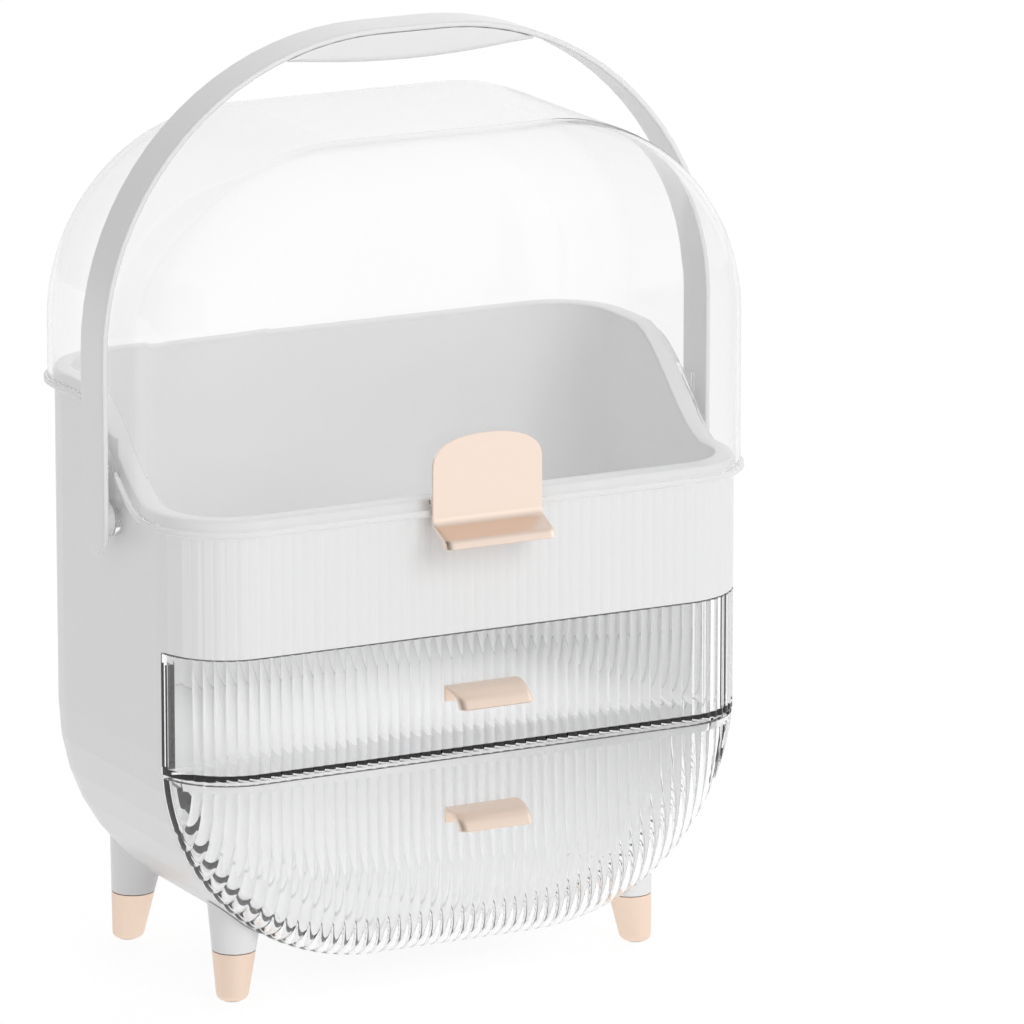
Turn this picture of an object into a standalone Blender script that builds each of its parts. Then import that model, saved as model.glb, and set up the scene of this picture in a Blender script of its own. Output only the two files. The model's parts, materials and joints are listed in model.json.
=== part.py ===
"""Dustproof makeup organizer: a white case with a rounded underside on splayed
legs, two clear fluted drawers, a tray, a clear domed lid and an arched handle.

Metres, with +Z up and the front towards -Y. Every piece is laid out in the
case's own frame, with x and y from the middle of the case and z from the table.
The root empty then moves the whole object so that its box is centred.
"""

import math

import bmesh
import bpy
from mathutils import Vector

# Fits and allowances
fit_gap = 0.0003
cut_overrun = 0.004
weld_distance = 0.000001

# Case: overall form
case_width = 0.290
case_depth = 0.170
case_underside = 0.017
bottom_corner_radius = 0.105
edge_radius = 0.035
case_wall = 0.003

# Case: front openings and apron
front_cap_depth = 0.0314
apron_underside = 0.172
deck_thickness = 0.0025
drawer_split_height = 0.114
split_gap = 0.002
apron_gap = 0.0008
apron_flute_pitch = 0.0054
apron_flute_depth = 0.0004
flute_skin = 0.00005
fluted_corner_angle = math.radians(53)

# Case: ribs that carry the shelf and the lower drawer
shelf_ledge_depth = 0.003
shelf_ledge_height = 0.0027
floor_rib_width = 0.003
floor_rib_spread = 0.050
rib_root = 0.0015

# Rim shared by the tray and the lid, low in front and high behind
rim_front_height = 0.236
rim_rise = 0.044
rim_slope_middle = -0.010
rim_slope_length = 0.070
rim_band_height = 0.0075

# Tray
tray_rim_thickness = 0.0025
tray_wall = 0.0025
tray_side_gap = 0.0035
tray_edge_radius = 0.001

# Middle shelf
shelf_thickness = 0.0024
shelf_side_gap = 0.0014

# Drawers
drawer_wall = 0.0022
drawer_front_wall = 0.0025
drawer_flute_pitch = 0.0054
drawer_flute_depth = 0.0006
flute_start_drop = 0.0003
upper_box_side_gap = 0.0012
upper_box_below_apron = 0.0065
lower_box_gap = 0.0035
lower_box_below_split = 0.006
lower_rim_height = 0.0033

# Drawer pulls and their screws
pull_width = 0.0395
pull_reach = 0.0165
pull_drop = 0.0074
pull_thickness = 0.0014
pull_plate_height = 0.009
pull_corner_radius = 0.003
pull_cove_power = 1.5
upper_pull_height = 0.1475
lower_pull_height = 0.0905
pull_screw_spacing = 0.024
pull_screw_radius = 0.0012
pull_screw_head_radius = 0.0024
pull_screw_head_height = 0.0012
pull_screw_bite = 0.0008

# Lid
lid_gap = 0.001
lid_wall = 0.002
lid_rise = 0.160
lid_corner_radius = 0.094
lid_flange_reach = 0.0018
lid_flange_height = 0.003
ear_width = 0.017
ear_thickness = 0.0025
ear_gap = 0.0008
ear_overlap = 0.009

# Pivots of the lid and the handle, on one axis
pivot_y = -0.0072
pivot_drop = 0.012
pivot_screw_radius = 0.003
pivot_screw_head_radius = 0.0055
pivot_screw_head_height = 0.0015
pivot_bush_wall = 0.0015
pivot_bush_flange_radius = 0.0065
pivot_bush_flange_height = 0.0008
spacer_radius = 0.0081
spacer_thickness = 0.0044

# Handle
handle_width = 0.024
handle_thickness = 0.0027
handle_rise = 0.043
handle_flat_half = 0.016
handle_end_drop = 0.016
handle_end_angle = math.radians(80)
handle_edge_chamfer = 0.0007
pivot_hole_floor = 0.0005
grip_length = 0.124
grip_depth = 0.013
grip_tip_depth = 0.0008
grip_edge_radius = 0.003

# Latch
latch_width = 0.055
latch_thickness = 0.0015
latch_standoff = 0.0037
latch_rise = 0.0294
latch_shoulder_drop = 0.0144
latch_bend_drop = 0.0105
latch_lip_reach = 0.014
latch_lip_drop = 0.008
latch_lip_corner = 0.003
latch_arch_power = 2.4
latch_cove_power = 1.8
latch_pin_drop = 0.0005
latch_pin_radius = 0.0008
latch_knuckle_radius = 0.0016
latch_knuckle_length = 0.008
latch_hook_width = 0.030
latch_hook_height = 0.0023
latch_hook_root = 0.0031
bracket_knuckle_radius = 0.0014
bracket_thickness = 0.0008
bracket_above_pin = 0.00825
bracket_below_pin = 0.00275
keeper_width = 0.026
keeper_height = 0.003
keeper_reach = 0.0031

# Legs, tips and pads
leg_spread_x = 0.1043
leg_front_y = -0.0407
leg_rear_y = 0.0719
leg_splay = 0.09
leg_foot_radius = 0.0071
leg_taper = 0.1325
leg_tip_height = 0.023
leg_top_height = 0.068
leg_edge_radius = 0.0025
tip_spigot_radius = 0.0040
tip_spigot_height = 0.0015
pad_radius = 0.0045
pad_thickness = 0.0014
pad_proud = 0.0004
peg_radius = 0.0032
peg_length = 0.009
peg_rise = 0.0036
leg_screw_radius = 0.0013
leg_screw_head_radius = 0.0034
leg_screw_head_height = 0.0018
leg_counterbore_depth = 0.006

# Steps that round surfaces are divided into, and rounds that settle a place on one
edge_steps = 6
corner_steps = 10
side_steps = 14
pin_sides = 16
leg_sides = 16
lower_front_steps = 4
strip_steps = 4
cove_steps = 6
soft_steps = 4
handle_end_steps = 5
settle_rounds = 4

# Worked out from the sizes above
half_width = case_width / 2
half_depth = case_depth / 2
corner_x = half_width - edge_radius
corner_y = half_depth - edge_radius
arc_x = half_width - bottom_corner_radius
arc_z = case_underside + bottom_corner_radius
seam_y = front_cap_depth - half_depth
cap_back_y = seam_y - fit_gap
deck_top = apron_underside + deck_thickness
upper_front_low = drawer_split_height + split_gap / 2
upper_front_high = apron_underside - apron_gap
lower_front_high = drawer_split_height - split_gap / 2
shelf_underside = drawer_split_height - shelf_thickness / 2
shelf_top = shelf_underside + shelf_thickness
rim_rear_height = rim_front_height + rim_rise
lid_top_height = rim_front_height + lid_rise
pivot_height = rim_front_height - pivot_drop
lid_offset = lid_gap + lid_wall
lid_half_width = half_width + lid_offset
lid_half_depth = half_depth + lid_offset
lid_arc_x = lid_half_width - lid_corner_radius
lid_arc_z = lid_top_height - lid_corner_radius
ear_inner_x = half_width + ear_gap
ear_outer_x = ear_inner_x + ear_thickness
spacer_inner_x = ear_outer_x + fit_gap
handle_inner_x = spacer_inner_x + spacer_thickness + fit_gap
handle_half_width = handle_inner_x + handle_thickness
handle_top_height = lid_top_height + handle_rise
handle_arch_radius = handle_half_width - handle_flat_half
handle_arc_z = handle_top_height - handle_arch_radius
bush_inner_radius = pivot_screw_radius + fit_gap
bush_outer_radius = bush_inner_radius + pivot_bush_wall
bush_hole_radius = bush_outer_radius + fit_gap
latch_top_height = rim_front_height + latch_rise
latch_shoulder_height = latch_top_height - latch_shoulder_drop
latch_bend_height = rim_front_height - latch_bend_drop
latch_pin_height = rim_front_height - latch_pin_drop
latch_back_y = -(lid_half_depth + latch_standoff)
latch_front_y = latch_back_y - latch_thickness
latch_pin_y = -(lid_half_depth + fit_gap + latch_knuckle_radius)
lower_box_inset = case_wall + lower_box_gap
upper_box_inset = case_wall + upper_box_side_gap
upper_box_low = shelf_top + fit_gap
object_front_y = latch_front_y - latch_lip_reach
object_rear_y = lid_half_depth + lid_flange_reach
object_middle_y = (object_front_y + object_rear_y) / 2


# Scene, empties and objects

def clear_scene():
    for obj in list(bpy.data.objects):
        bpy.data.objects.remove(obj, do_unlink=True)


def add_empty(name, place, parent=None):
    """An empty on a joint's axis, at a place given in the case's frame."""
    empty = bpy.data.objects.new(name, None)
    bpy.context.scene.collection.objects.link(empty)
    empty["place"] = place
    empty.location = place
    if parent is not None:
        empty.parent = parent
        empty.location = Vector(place) - Vector(parent["place"])
    return empty


def add_object(name, shape, parent):
    """An object whose mesh is in the case's frame, under an empty."""
    bmesh.ops.remove_doubles(shape, verts=shape.verts, dist=weld_distance)
    bmesh.ops.recalc_face_normals(shape, faces=shape.faces)
    if shape.calc_volume(signed=True) < 0:
        bmesh.ops.reverse_faces(shape, faces=shape.faces)
    mesh = bpy.data.meshes.new(name)
    shape.to_mesh(mesh)
    shape.free()
    obj = bpy.data.objects.new(name, mesh)
    bpy.context.scene.collection.objects.link(obj)
    obj.parent = parent
    obj.location = -Vector(parent["place"])
    return obj


def add_cutter(name, shape):
    """A helper for a Boolean, left out of the finished object."""
    cutter = add_object(name, shape, organizer)
    cutter.hide_render = True
    cutter.display_type = "WIRE"
    return cutter


def add_piece(name, shape, parent, finish, smooth_angle=0):
    """A finished piece with its own material; a smooth angle shades its round faces smooth."""
    piece = add_object(name, shape, parent)
    piece.data.materials.append(make_material(name, finish))
    if smooth_angle:
        piece.data.shade_smooth()
        piece.data.set_sharp_from_angle(angle=smooth_angle)
    return piece


def make_material(name, finish):
    colour, roughness, metallic, transmission = finish
    material = bpy.data.materials.new(name)
    material.use_nodes = True
    shader = material.node_tree.nodes["Principled BSDF"]
    shader.inputs["Base Color"].default_value = (*colour, 1)
    shader.inputs["Roughness"].default_value = roughness
    shader.inputs["Metallic"].default_value = metallic
    shader.inputs["Transmission Weight"].default_value = transmission
    material.diffuse_color = (*colour, 1 - transmission / 2)
    return material


def combine(piece, operation, cutter):
    modifier = piece.modifiers.new(cutter.name, "BOOLEAN")
    modifier.operation = operation
    modifier.solver = "EXACT"
    modifier.object = cutter


# Finishes: colour, roughness, metallic, transmission
white_plastic = ((0.90, 0.90, 0.91), 0.32, 0, 0)
clear_plastic = ((0.96, 0.97, 0.98), 0.05, 0, 0.9)
rose_gold = ((0.93, 0.74, 0.60), 0.25, 1, 0)
satin_gold = ((0.87, 0.68, 0.53), 0.40, 1, 0)
steel = ((0.62, 0.62, 0.63), 0.35, 1, 0)
acetal = ((0.85, 0.85, 0.83), 0.45, 0, 0)
rubber = ((0.55, 0.55, 0.55), 0.80, 0, 0)
smooth_limit = math.radians(35)


# Shapes

def loft(rings, shape=None):
    """A closed body through rings of equal length, with a flat face on the first and the last."""
    shape = shape or bmesh.new()
    rows = [[shape.verts.new(point) for point in ring] for ring in rings]
    for low, high in zip(rows, rows[1:]):
        for i in range(len(low)):
            j = (i + 1) % len(low)
            shape.faces.new((low[i], low[j], high[j], high[i]))
    shape.faces.new(rows[0])
    shape.faces.new(rows[-1])
    return shape


def add_grid(shape, columns):
    """Faces between neighbouring columns of points, open all round."""
    rows = [[shape.verts.new(point) for point in column] for column in columns]
    for left, right in zip(rows, rows[1:]):
        for i in range(len(left) - 1):
            shape.faces.new((left[i], left[i + 1], right[i + 1], right[i]))
    return rows


def add_box(low, high, shape=None):
    """A box between two corners."""
    floor = [(low[0], low[1]), (high[0], low[1]), (high[0], high[1]), (low[0], high[1])]
    return loft([[(x, y, z) for x, y in floor] for z in (low[2], high[2])], shape)


def prism(outline, low, high, shape=None):
    """An outline in plan, drawn up from one height to another."""
    return loft([[(x, y, z) for x, y in outline] for z in (low, high)], shape)


def turned_x(profile, centre_y, centre_z, shape=None):
    """A body of revolution about an axis along x, from (x, radius) pairs."""
    angles = [2 * math.pi * i / pin_sides for i in range(pin_sides)]
    rings = []
    for x, radius in profile:
        rings.append([
            (x, centre_y + radius * math.cos(a), centre_z + radius * math.sin(a)) for a in angles
        ])
    return loft(rings, shape)


def turned_y(profile, centre_x, centre_z, shape=None):
    """A body of revolution about an axis along y, from (y, radius) pairs."""
    angles = [2 * math.pi * i / pin_sides for i in range(pin_sides)]
    rings = []
    for y, radius in profile:
        rings.append([
            (centre_x + radius * math.cos(a), y, centre_z + radius * math.sin(a)) for a in angles
        ])
    return loft(rings, shape)


def sheet_outline(path, thickness):
    """A bent sheet's outline: the path, and the same path moved to its right by the thickness."""
    moved = []
    for i, (u, v) in enumerate(path):
        before = Vector(path[max(i - 1, 0)])
        after = Vector(path[min(i + 1, len(path) - 1)])
        here = Vector((u, v))
        ways = [way.normalized() for way in (here - before, after - here) if way.length > 0]
        middle = sum(ways, Vector((0, 0))).normalized()
        stretch = 1 / max(middle.dot(ways[0]), math.sqrt(0.5))
        moved.append((u + middle.y * thickness * stretch, v - middle.x * thickness * stretch))
    return list(path) + moved[::-1]


def cove_path(reach, drop, power):
    """A cove that falls steeply at first and runs out almost level, as (out, down) pairs."""
    parts = [i / cove_steps for i in range(cove_steps + 1)]
    shares = [(part, 1 - (1 - part) ** power) for part in parts]
    return [(reach * out, -drop * down) for out, down in shares]


def rounded_reach(x, half, reach, radius):
    """How far a lip with rounded corners reaches at a place across its width."""
    past = max(abs(x) - (half - radius), 0)
    return reach - radius + math.sqrt(max(radius ** 2 - past ** 2, 0))


# The case's surface

def rim_height(y):
    """The S-shaped rim: low in front, high behind, level at both ends."""
    share = (y - rim_slope_middle) / rim_slope_length + 0.5
    share = min(max(share, 0), 1)
    return rim_front_height + rim_rise * share ** 2 * (3 - 2 * share)


def side_places():
    """The places from front to rear at which every piece meets the rim's curve."""
    return [corner_y * (2 * i / side_steps - 1) for i in range(side_steps + 1)]


def plan_ring(inset, drop=None):
    """The case's rounded plan, moved in by the inset; with a drop, at that depth under the rim."""
    radius = edge_radius - inset
    ring = []
    for quarter in range(4):
        sx = 1 if quarter in (0, 3) else -1
        sy = 1 if quarter in (0, 1) else -1
        for i in range(edge_steps + 1):
            angle = math.pi / 2 * (quarter + i / edge_steps)
            x = sx * corner_x + radius * math.cos(angle)
            y = sy * corner_y + radius * math.sin(angle)
            ring.append((x, y))
        if quarter in (1, 3):
            side_x = sx * (half_width - inset)
            ring += [(side_x, sx * y) for y in side_places()[1:-1]]
    if drop is None:
        return ring
    return [(x, y, rim_height(y) - drop) for x, y in ring]


def rear_plan(inset, front_y):
    """The plan of a box that follows the case's rear corners and is cut square in front."""
    radius = edge_radius - inset
    side_x = half_width - inset
    outline = [(side_x, front_y)]
    for centre_x, start in ((corner_x, 0), (-corner_x, math.pi / 2)):
        for i in range(edge_steps + 1):
            angle = start + math.pi / 2 * i / edge_steps
            outline.append((centre_x + radius * math.cos(angle), corner_y + radius * math.sin(angle)))
    outline.append((-side_x, front_y))
    return outline


def case_outline(inset, top):
    """The case seen from the front, moved in by the inset and cut level at the top."""
    radius = bottom_corner_radius - inset
    first = math.asin(max(arc_z - top, 0) / radius)
    top_x = arc_x + radius * math.cos(first)
    points = [(-top_x, top)]
    for side in (-1, 1):
        for i in range(corner_steps + 1):
            share = i / corner_steps if side < 0 else 1 - i / corner_steps
            angle = first + (math.pi / 2 - first) * share
            points.append((side * (arc_x + radius * math.cos(angle)), arc_z - radius * math.sin(angle)))
    points.append((top_x, top))
    return points


def outline_ring(inset, top, y):
    return [(x, y, z) for x, z in case_outline(inset, top)]


def edge_rings(inset, top, side):
    """Rings round the front (side -1) or rear (side 1) edge, from its flat face to its full width."""
    radius = edge_radius - inset
    rings = []
    for i in range(edge_steps + 1):
        angle = math.pi / 2 * i / edge_steps
        y = side * (corner_y + radius * math.cos(angle))
        rings.append(outline_ring(inset + radius * (1 - math.sin(angle)), top, y))
    return rings


def case_form(inset, top):
    """The whole rounded body of the case at an inset, closed at both ends and at the top."""
    return loft(edge_rings(inset, top, -1) + edge_rings(inset, top, 1)[::-1])


def rear_form(inset, top, front_y):
    """The same body cut square in front, for a bay or a drawer's box."""
    return loft([outline_ring(inset, top, front_y)] + edge_rings(inset, top, 1)[::-1])


def underside_height(x, y):
    """The height of the case's rounded underside at a place in plan."""
    past_edge = max(abs(y) - corner_y, 0)
    inset = edge_radius - math.sqrt(edge_radius ** 2 - past_edge ** 2)
    radius = bottom_corner_radius - inset
    past_arc = max(abs(x) - arc_x, 0)
    return arc_z - math.sqrt(radius ** 2 - past_arc ** 2)


# Flutes

flute_depth_shares = (1, 0.2, 0.2)


def flute_stations(pitch):
    """Places along the front from left to right, as (arc length, share of the flute's depth)."""
    half_length = corner_x + edge_radius * fluted_corner_angle
    count = round(2 * half_length / pitch)
    parts = len(flute_depth_shares)
    step = 2 * half_length / (count * parts)
    return [
        (i * step - half_length, flute_depth_shares[i % parts]) for i in range(count * parts + 1)
    ]


def front_point(length, inset):
    """The front's plan at an arc length from its middle, moved in by the inset."""
    if abs(length) <= corner_x:
        return (length, inset - half_depth)
    angle = (abs(length) - corner_x) / edge_radius
    radius = edge_radius - inset
    x = math.copysign(corner_x + radius * math.sin(angle), length)
    return (x, -(corner_y + radius * math.cos(angle)))


def plain_stations(start, end):
    """Stations of the plain strip between the last flute and the seam."""
    return [start + (end - start) * (i + 1) / strip_steps for i in range(strip_steps)]


def fluted_front(pitch, depth):
    """A fluted front's plan from seam to seam, left to right."""
    flutes = flute_stations(pitch)
    seam_angle = math.acos((-cap_back_y - corner_y) / edge_radius)
    strip = plain_stations(flutes[-1][0], corner_x + edge_radius * seam_angle)
    left = [front_point(-length, 0) for length in strip[::-1]]
    middle = [front_point(length, depth * share) for length, share in flutes]
    return left + middle + [front_point(length, 0) for length in strip]


# Case

def apron_flute_guide():
    """A prism whose front is fluted and which stands clear of the case everywhere else."""
    flutes = [
        front_point(length, flute_skin + apron_flute_depth * share)
        for length, share in flute_stations(apron_flute_pitch)
    ]
    wide = half_width + cut_overrun
    deep = half_depth + cut_overrun
    outline = flutes + [(wide, flutes[-1][1] - cut_overrun), (wide, deep), (-wide, deep)]
    outline.append((-wide, flutes[0][1] - cut_overrun))
    return prism(outline, case_underside - cut_overrun, rim_rear_height + cut_overrun)


def above_rim(drop):
    """Everything above the rim's curve at a depth under it, as a body drawn across the case."""
    ends = half_depth + cut_overrun
    line = [(y, rim_height(y) - drop) for y in [-ends] + side_places() + [ends]]
    ceiling = rim_rear_height + 2 * cut_overrun
    profile = line + [(ends, ceiling), (-ends, ceiling)]
    wide = half_width + cut_overrun
    return loft([[(x, y, z) for y, z in profile] for x in (-wide, wide)])


def case_ribs():
    """Ledges under the shelf, ribs under the lower drawer and the latch's keeper."""
    shape = bmesh.new()
    ledge_top = shelf_underside - fit_gap
    for side in (-1, 1):
        xs = sorted((side * (half_width - rib_root), side * (half_width - case_wall - shelf_ledge_depth)))
        low = (xs[0], seam_y + case_wall, ledge_top - shelf_ledge_height)
        add_box(low, (xs[1], corner_y, ledge_top), shape)
        middle = side * floor_rib_spread / 2
        floor_top = case_underside + lower_box_inset - fit_gap
        low = (middle - floor_rib_width / 2, seam_y + case_wall, case_underside + rib_root)
        add_box(low, (middle + floor_rib_width / 2, corner_y, floor_top), shape)
    keeper_top = rim_front_height - rim_band_height - fit_gap - keeper_height
    low = (-keeper_width / 2, -half_depth - keeper_reach, keeper_top - keeper_height)
    add_box(low, (keeper_width / 2, rib_root - half_depth, keeper_top), shape)
    return shape


def leg_centre(side_x, foot_y, z):
    """The middle of a splayed leg at a height."""
    lean = leg_splay * z
    return (side_x * (leg_spread_x - lean), foot_y - math.copysign(lean, foot_y))


def leg_ring(side_x, foot_y, z, radius):
    x, y = leg_centre(side_x, foot_y, z)
    angles = [2 * math.pi * i / leg_sides for i in range(leg_sides)]
    return [(x + radius * math.cos(a), y + radius * math.sin(a), z) for a in angles]


def peg_span(side_x, foot_y):
    """The lower and upper end of the peg that the case puts into a leg."""
    meeting = case_underside
    for _ in range(settle_rounds):
        meeting = underside_height(*leg_centre(side_x, foot_y, meeting))
    top = meeting + peg_rise
    return top - peg_length, top


def leg_places():
    return [
        ("front_left", -1, leg_front_y),
        ("front_right", 1, leg_front_y),
        ("rear_left", -1, leg_rear_y),
        ("rear_right", 1, leg_rear_y),
    ]


def case_pegs():
    shape = bmesh.new()
    for _, side_x, foot_y in leg_places():
        low, high = peg_span(side_x, foot_y)
        loft([leg_ring(side_x, foot_y, z, peg_radius) for z in (low, high)], shape)
    return shape


def case_holes():
    """Bores for the pivot bushes, and pilot holes in the pegs for the leg screws."""
    shape = bmesh.new()
    for side in (-1, 1):
        span = (side * (half_width - case_wall - cut_overrun), side * (half_width + cut_overrun))
        turned_x([(x, bush_hole_radius) for x in span], pivot_y, pivot_height, shape)
    radius = leg_screw_radius + fit_gap
    for _, side_x, foot_y in leg_places():
        low, high = peg_span(side_x, foot_y)
        span = (low - cut_overrun, high - peg_rise)
        loft([leg_ring(side_x, foot_y, z, radius) for z in span], shape)
    return shape


def make_case():
    case = add_piece("body_casing", case_form(0, rim_rear_height), organizer, white_plastic, smooth_limit)
    low = (-half_width - cut_overrun, -half_depth - cut_overrun, case_underside - cut_overrun)
    fronts = add_box(low, (half_width + cut_overrun, seam_y, apron_underside))
    combine(case, "DIFFERENCE", add_cutter("cut_drawer_fronts", fronts))
    bays = rear_form(case_wall, apron_underside, seam_y - cut_overrun)
    combine(case, "DIFFERENCE", add_cutter("cut_bays", bays))
    well = prism(plan_ring(case_wall), deck_top, rim_rear_height + cut_overrun)
    combine(case, "DIFFERENCE", add_cutter("cut_tray_well", well))
    combine(case, "INTERSECT", add_cutter("flute_guide", apron_flute_guide()))
    combine(case, "DIFFERENCE", add_cutter("cut_rim", above_rim(rim_band_height + fit_gap)))
    combine(case, "UNION", add_cutter("case_ribs", case_ribs()))
    combine(case, "UNION", add_cutter("case_pegs", case_pegs()))
    combine(case, "DIFFERENCE", add_cutter("cut_case_holes", case_holes()))


# Tray and shelf

def make_tray():
    """A tub whose turned-down rim sits on the case's wall and follows the S-curve."""
    outer_wall = case_wall + tray_side_gap
    inner_wall = outer_wall + tray_wall
    floor_low = deck_top + fit_gap
    floor_high = floor_low + tray_wall
    soft = tray_edge_radius
    rings = [
        [(x, y, floor_high) for x, y in plan_ring(inner_wall + tray_wall)],
        [(x, y, floor_high + tray_wall) for x, y in plan_ring(inner_wall)],
        plan_ring(inner_wall, soft),
        plan_ring(inner_wall - soft, 0),
        plan_ring(soft, 0),
        plan_ring(0, soft),
        plan_ring(0, rim_band_height),
        plan_ring(tray_rim_thickness, rim_band_height),
        plan_ring(tray_rim_thickness, tray_rim_thickness),
        plan_ring(outer_wall, tray_rim_thickness),
        [(x, y, floor_low + tray_wall) for x, y in plan_ring(outer_wall)],
        [(x, y, floor_low) for x, y in plan_ring(outer_wall + tray_wall)],
    ]
    add_piece("upper_tray", loft(rings), organizer, white_plastic, smooth_limit)


def make_shelf():
    outline = rear_plan(case_wall + shelf_side_gap, seam_y + fit_gap)
    shelf = prism(outline, shelf_underside, shelf_top)
    add_piece("middle_shelf", shelf, organizer, white_plastic)


# Drawers

def make_upper_drawer():
    """A fluted front that wraps round the corners, with a plain box behind it."""
    front = prism(fluted_front(drawer_flute_pitch, drawer_flute_depth), upper_front_low, upper_front_high)
    drawer = add_piece("upper_drawer", front, upper_slide, clear_plastic, smooth_limit)
    root_y = cap_back_y - drawer_front_wall / 2
    box_top = apron_underside - upper_box_below_apron
    box = prism(rear_plan(upper_box_inset, root_y), upper_box_low, box_top)
    combine(drawer, "UNION", add_cutter("upper_drawer_box", box))
    floor = upper_box_low + drawer_wall
    hollow = [front_point(length, drawer_front_wall) for length in smooth_front_lengths()]
    hollow = [(x, y) for x, y in hollow if y < cap_back_y - drawer_front_wall]
    edge_x = hollow[-1][0]
    hollow = [(-edge_x, cap_back_y - drawer_front_wall)] + hollow
    hollow.append((edge_x, cap_back_y - drawer_front_wall))
    cavity = prism(hollow, floor, apron_underside + cut_overrun)
    combine(drawer, "DIFFERENCE", add_cutter("cut_upper_front", cavity))
    behind = rear_plan(upper_box_inset + drawer_wall, cap_back_y - 2 * drawer_front_wall)
    cavity = prism(behind, floor, apron_underside + cut_overrun)
    combine(drawer, "DIFFERENCE", add_cutter("cut_upper_box", cavity))
    holes = pull_holes(upper_pull_height)
    combine(drawer, "DIFFERENCE", add_cutter("cut_upper_pull_holes", holes))


def smooth_front_lengths():
    """Arc lengths along the front that draw it without flutes, left to right."""
    seam_angle = math.acos((-cap_back_y - corner_y) / edge_radius)
    corner = [corner_x + edge_radius * seam_angle * i / edge_steps for i in range(edge_steps + 1)]
    return [-length for length in corner[::-1]] + corner


def edge_angle(x, z):
    """How far round the front's edge a place lies: nothing on the flat face, a quarter at the side."""
    if abs(x) <= arc_x:
        inside = z - case_underside
    else:
        inside = bottom_corner_radius - math.hypot(abs(x) - arc_x, arc_z - z)
    return math.asin(min(max(1 - inside / edge_radius, 0), 1))


def lower_front_point(x, angle, depth):
    """A point of the rounded front on the upright line at x, sunk by a flute's depth."""
    inset = edge_radius * (1 - math.sin(angle))
    radius = bottom_corner_radius - inset
    past = max(abs(x) - arc_x, 0)
    down = math.sqrt(max(radius ** 2 - past ** 2, 0))
    place = Vector((x, -(corner_y + edge_radius * math.cos(angle)), arc_z - down))
    outward = Vector((math.copysign(past, x), 0, -down)) / radius
    normal = outward * math.sin(angle) + Vector((0, -math.cos(angle), 0))
    return place - normal * depth


def lower_front_column(x, share, seam_angle):
    """One upright line of the lower front, from its rim down, under and back to the seam."""
    lowest = lower_front_point(x, seam_angle, 0).z
    band_low = lower_front_high - lower_rim_height
    column = []
    for z in (lower_front_high, band_low):
        column.append(face_point(x, max(z, lowest), 0))
    start_z = max(band_low - flute_start_drop, lowest)
    column.append(face_point(x, start_z, drawer_flute_depth * share))
    start = edge_angle(x, start_z)
    steps = lower_front_steps
    for i in range(steps + 1):
        part = i / steps if start == 0 else (i + 1) / (steps + 1)
        angle = start + (seam_angle - start) * part
        point = lower_front_point(x, angle, drawer_flute_depth * share)
        if i == steps:
            point.y = cap_back_y
        column.append(tuple(point))
    return column


def face_point(x, z, depth):
    """A point of the lower front at a height, sunk by a flute's depth."""
    angle = edge_angle(x, z)
    if angle == 0:
        return (x, depth - half_depth, z)
    point = lower_front_point(x, angle, depth)
    return tuple(point)


def lower_front_form():
    """The lower drawer's front: flutes run down its face, then back under its rounded edge."""
    seam_angle = math.acos((-cap_back_y - corner_y) / edge_radius)
    seam_radius = bottom_corner_radius - edge_radius * (1 - math.sin(seam_angle))
    end_x = arc_x + math.sqrt(seam_radius ** 2 - max(arc_z - lower_front_high, 0) ** 2)
    flutes = [(front_point(length, 0)[0], share) for length, share in flute_stations(drawer_flute_pitch)]
    first_angle = math.asin((flutes[-1][0] - corner_x) / edge_radius)
    last_angle = math.asin((end_x - corner_x) / edge_radius)
    strip = [
        corner_x + edge_radius * math.sin(angle) for angle in plain_stations(first_angle, last_angle)
    ]
    stations = [(-x, 0) for x in strip[::-1]] + flutes + [(x, 0) for x in strip]
    shape = bmesh.new()
    columns = add_grid(shape, [lower_front_column(x, share, seam_angle) for x, share in stations])
    shape.faces.new([column[0] for column in columns])
    shape.faces.new([column[-1] for column in columns])
    shape.faces.new(columns[0] + columns[-1][::-1])
    return shape


def make_lower_drawer():
    """A fluted front that wraps under the case's rounded bottom, with a box that follows it."""
    drawer = add_piece("lower_drawer", lower_front_form(), lower_slide, clear_plastic, smooth_limit)
    box_top = drawer_split_height - lower_box_below_split
    box = rear_form(lower_box_inset, box_top, cap_back_y - drawer_front_wall / 2)
    combine(drawer, "UNION", add_cutter("lower_drawer_box", box))
    open_top = drawer_split_height + cut_overrun
    rings = []
    for ring in edge_rings(drawer_front_wall, open_top, -1):
        if ring[0][1] < cap_back_y - drawer_front_wall:
            rings.append(ring)
    last = [(x, cap_back_y - drawer_front_wall, z) for x, _, z in rings[-1]]
    combine(drawer, "DIFFERENCE", add_cutter("cut_lower_front", loft(rings + [last])))
    behind = rear_form(lower_box_inset + drawer_wall, open_top, cap_back_y - 2 * drawer_front_wall)
    combine(drawer, "DIFFERENCE", add_cutter("cut_lower_box", behind))
    holes = pull_holes(lower_pull_height)
    combine(drawer, "DIFFERENCE", add_cutter("cut_lower_pull_holes", holes))


# Pulls

def pull_screw_places(top):
    z = top - pull_plate_height / 2
    return [(side * pull_screw_spacing / 2, z) for side in (-1, 1)]


def pull_holes(top):
    shape = bmesh.new()
    span = (-half_depth - cut_overrun, drawer_front_wall - half_depth + cut_overrun)
    for x, z in pull_screw_places(top):
        turned_y([(y, pull_screw_radius + fit_gap) for y in span], x, z, shape)
    return shape


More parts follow.
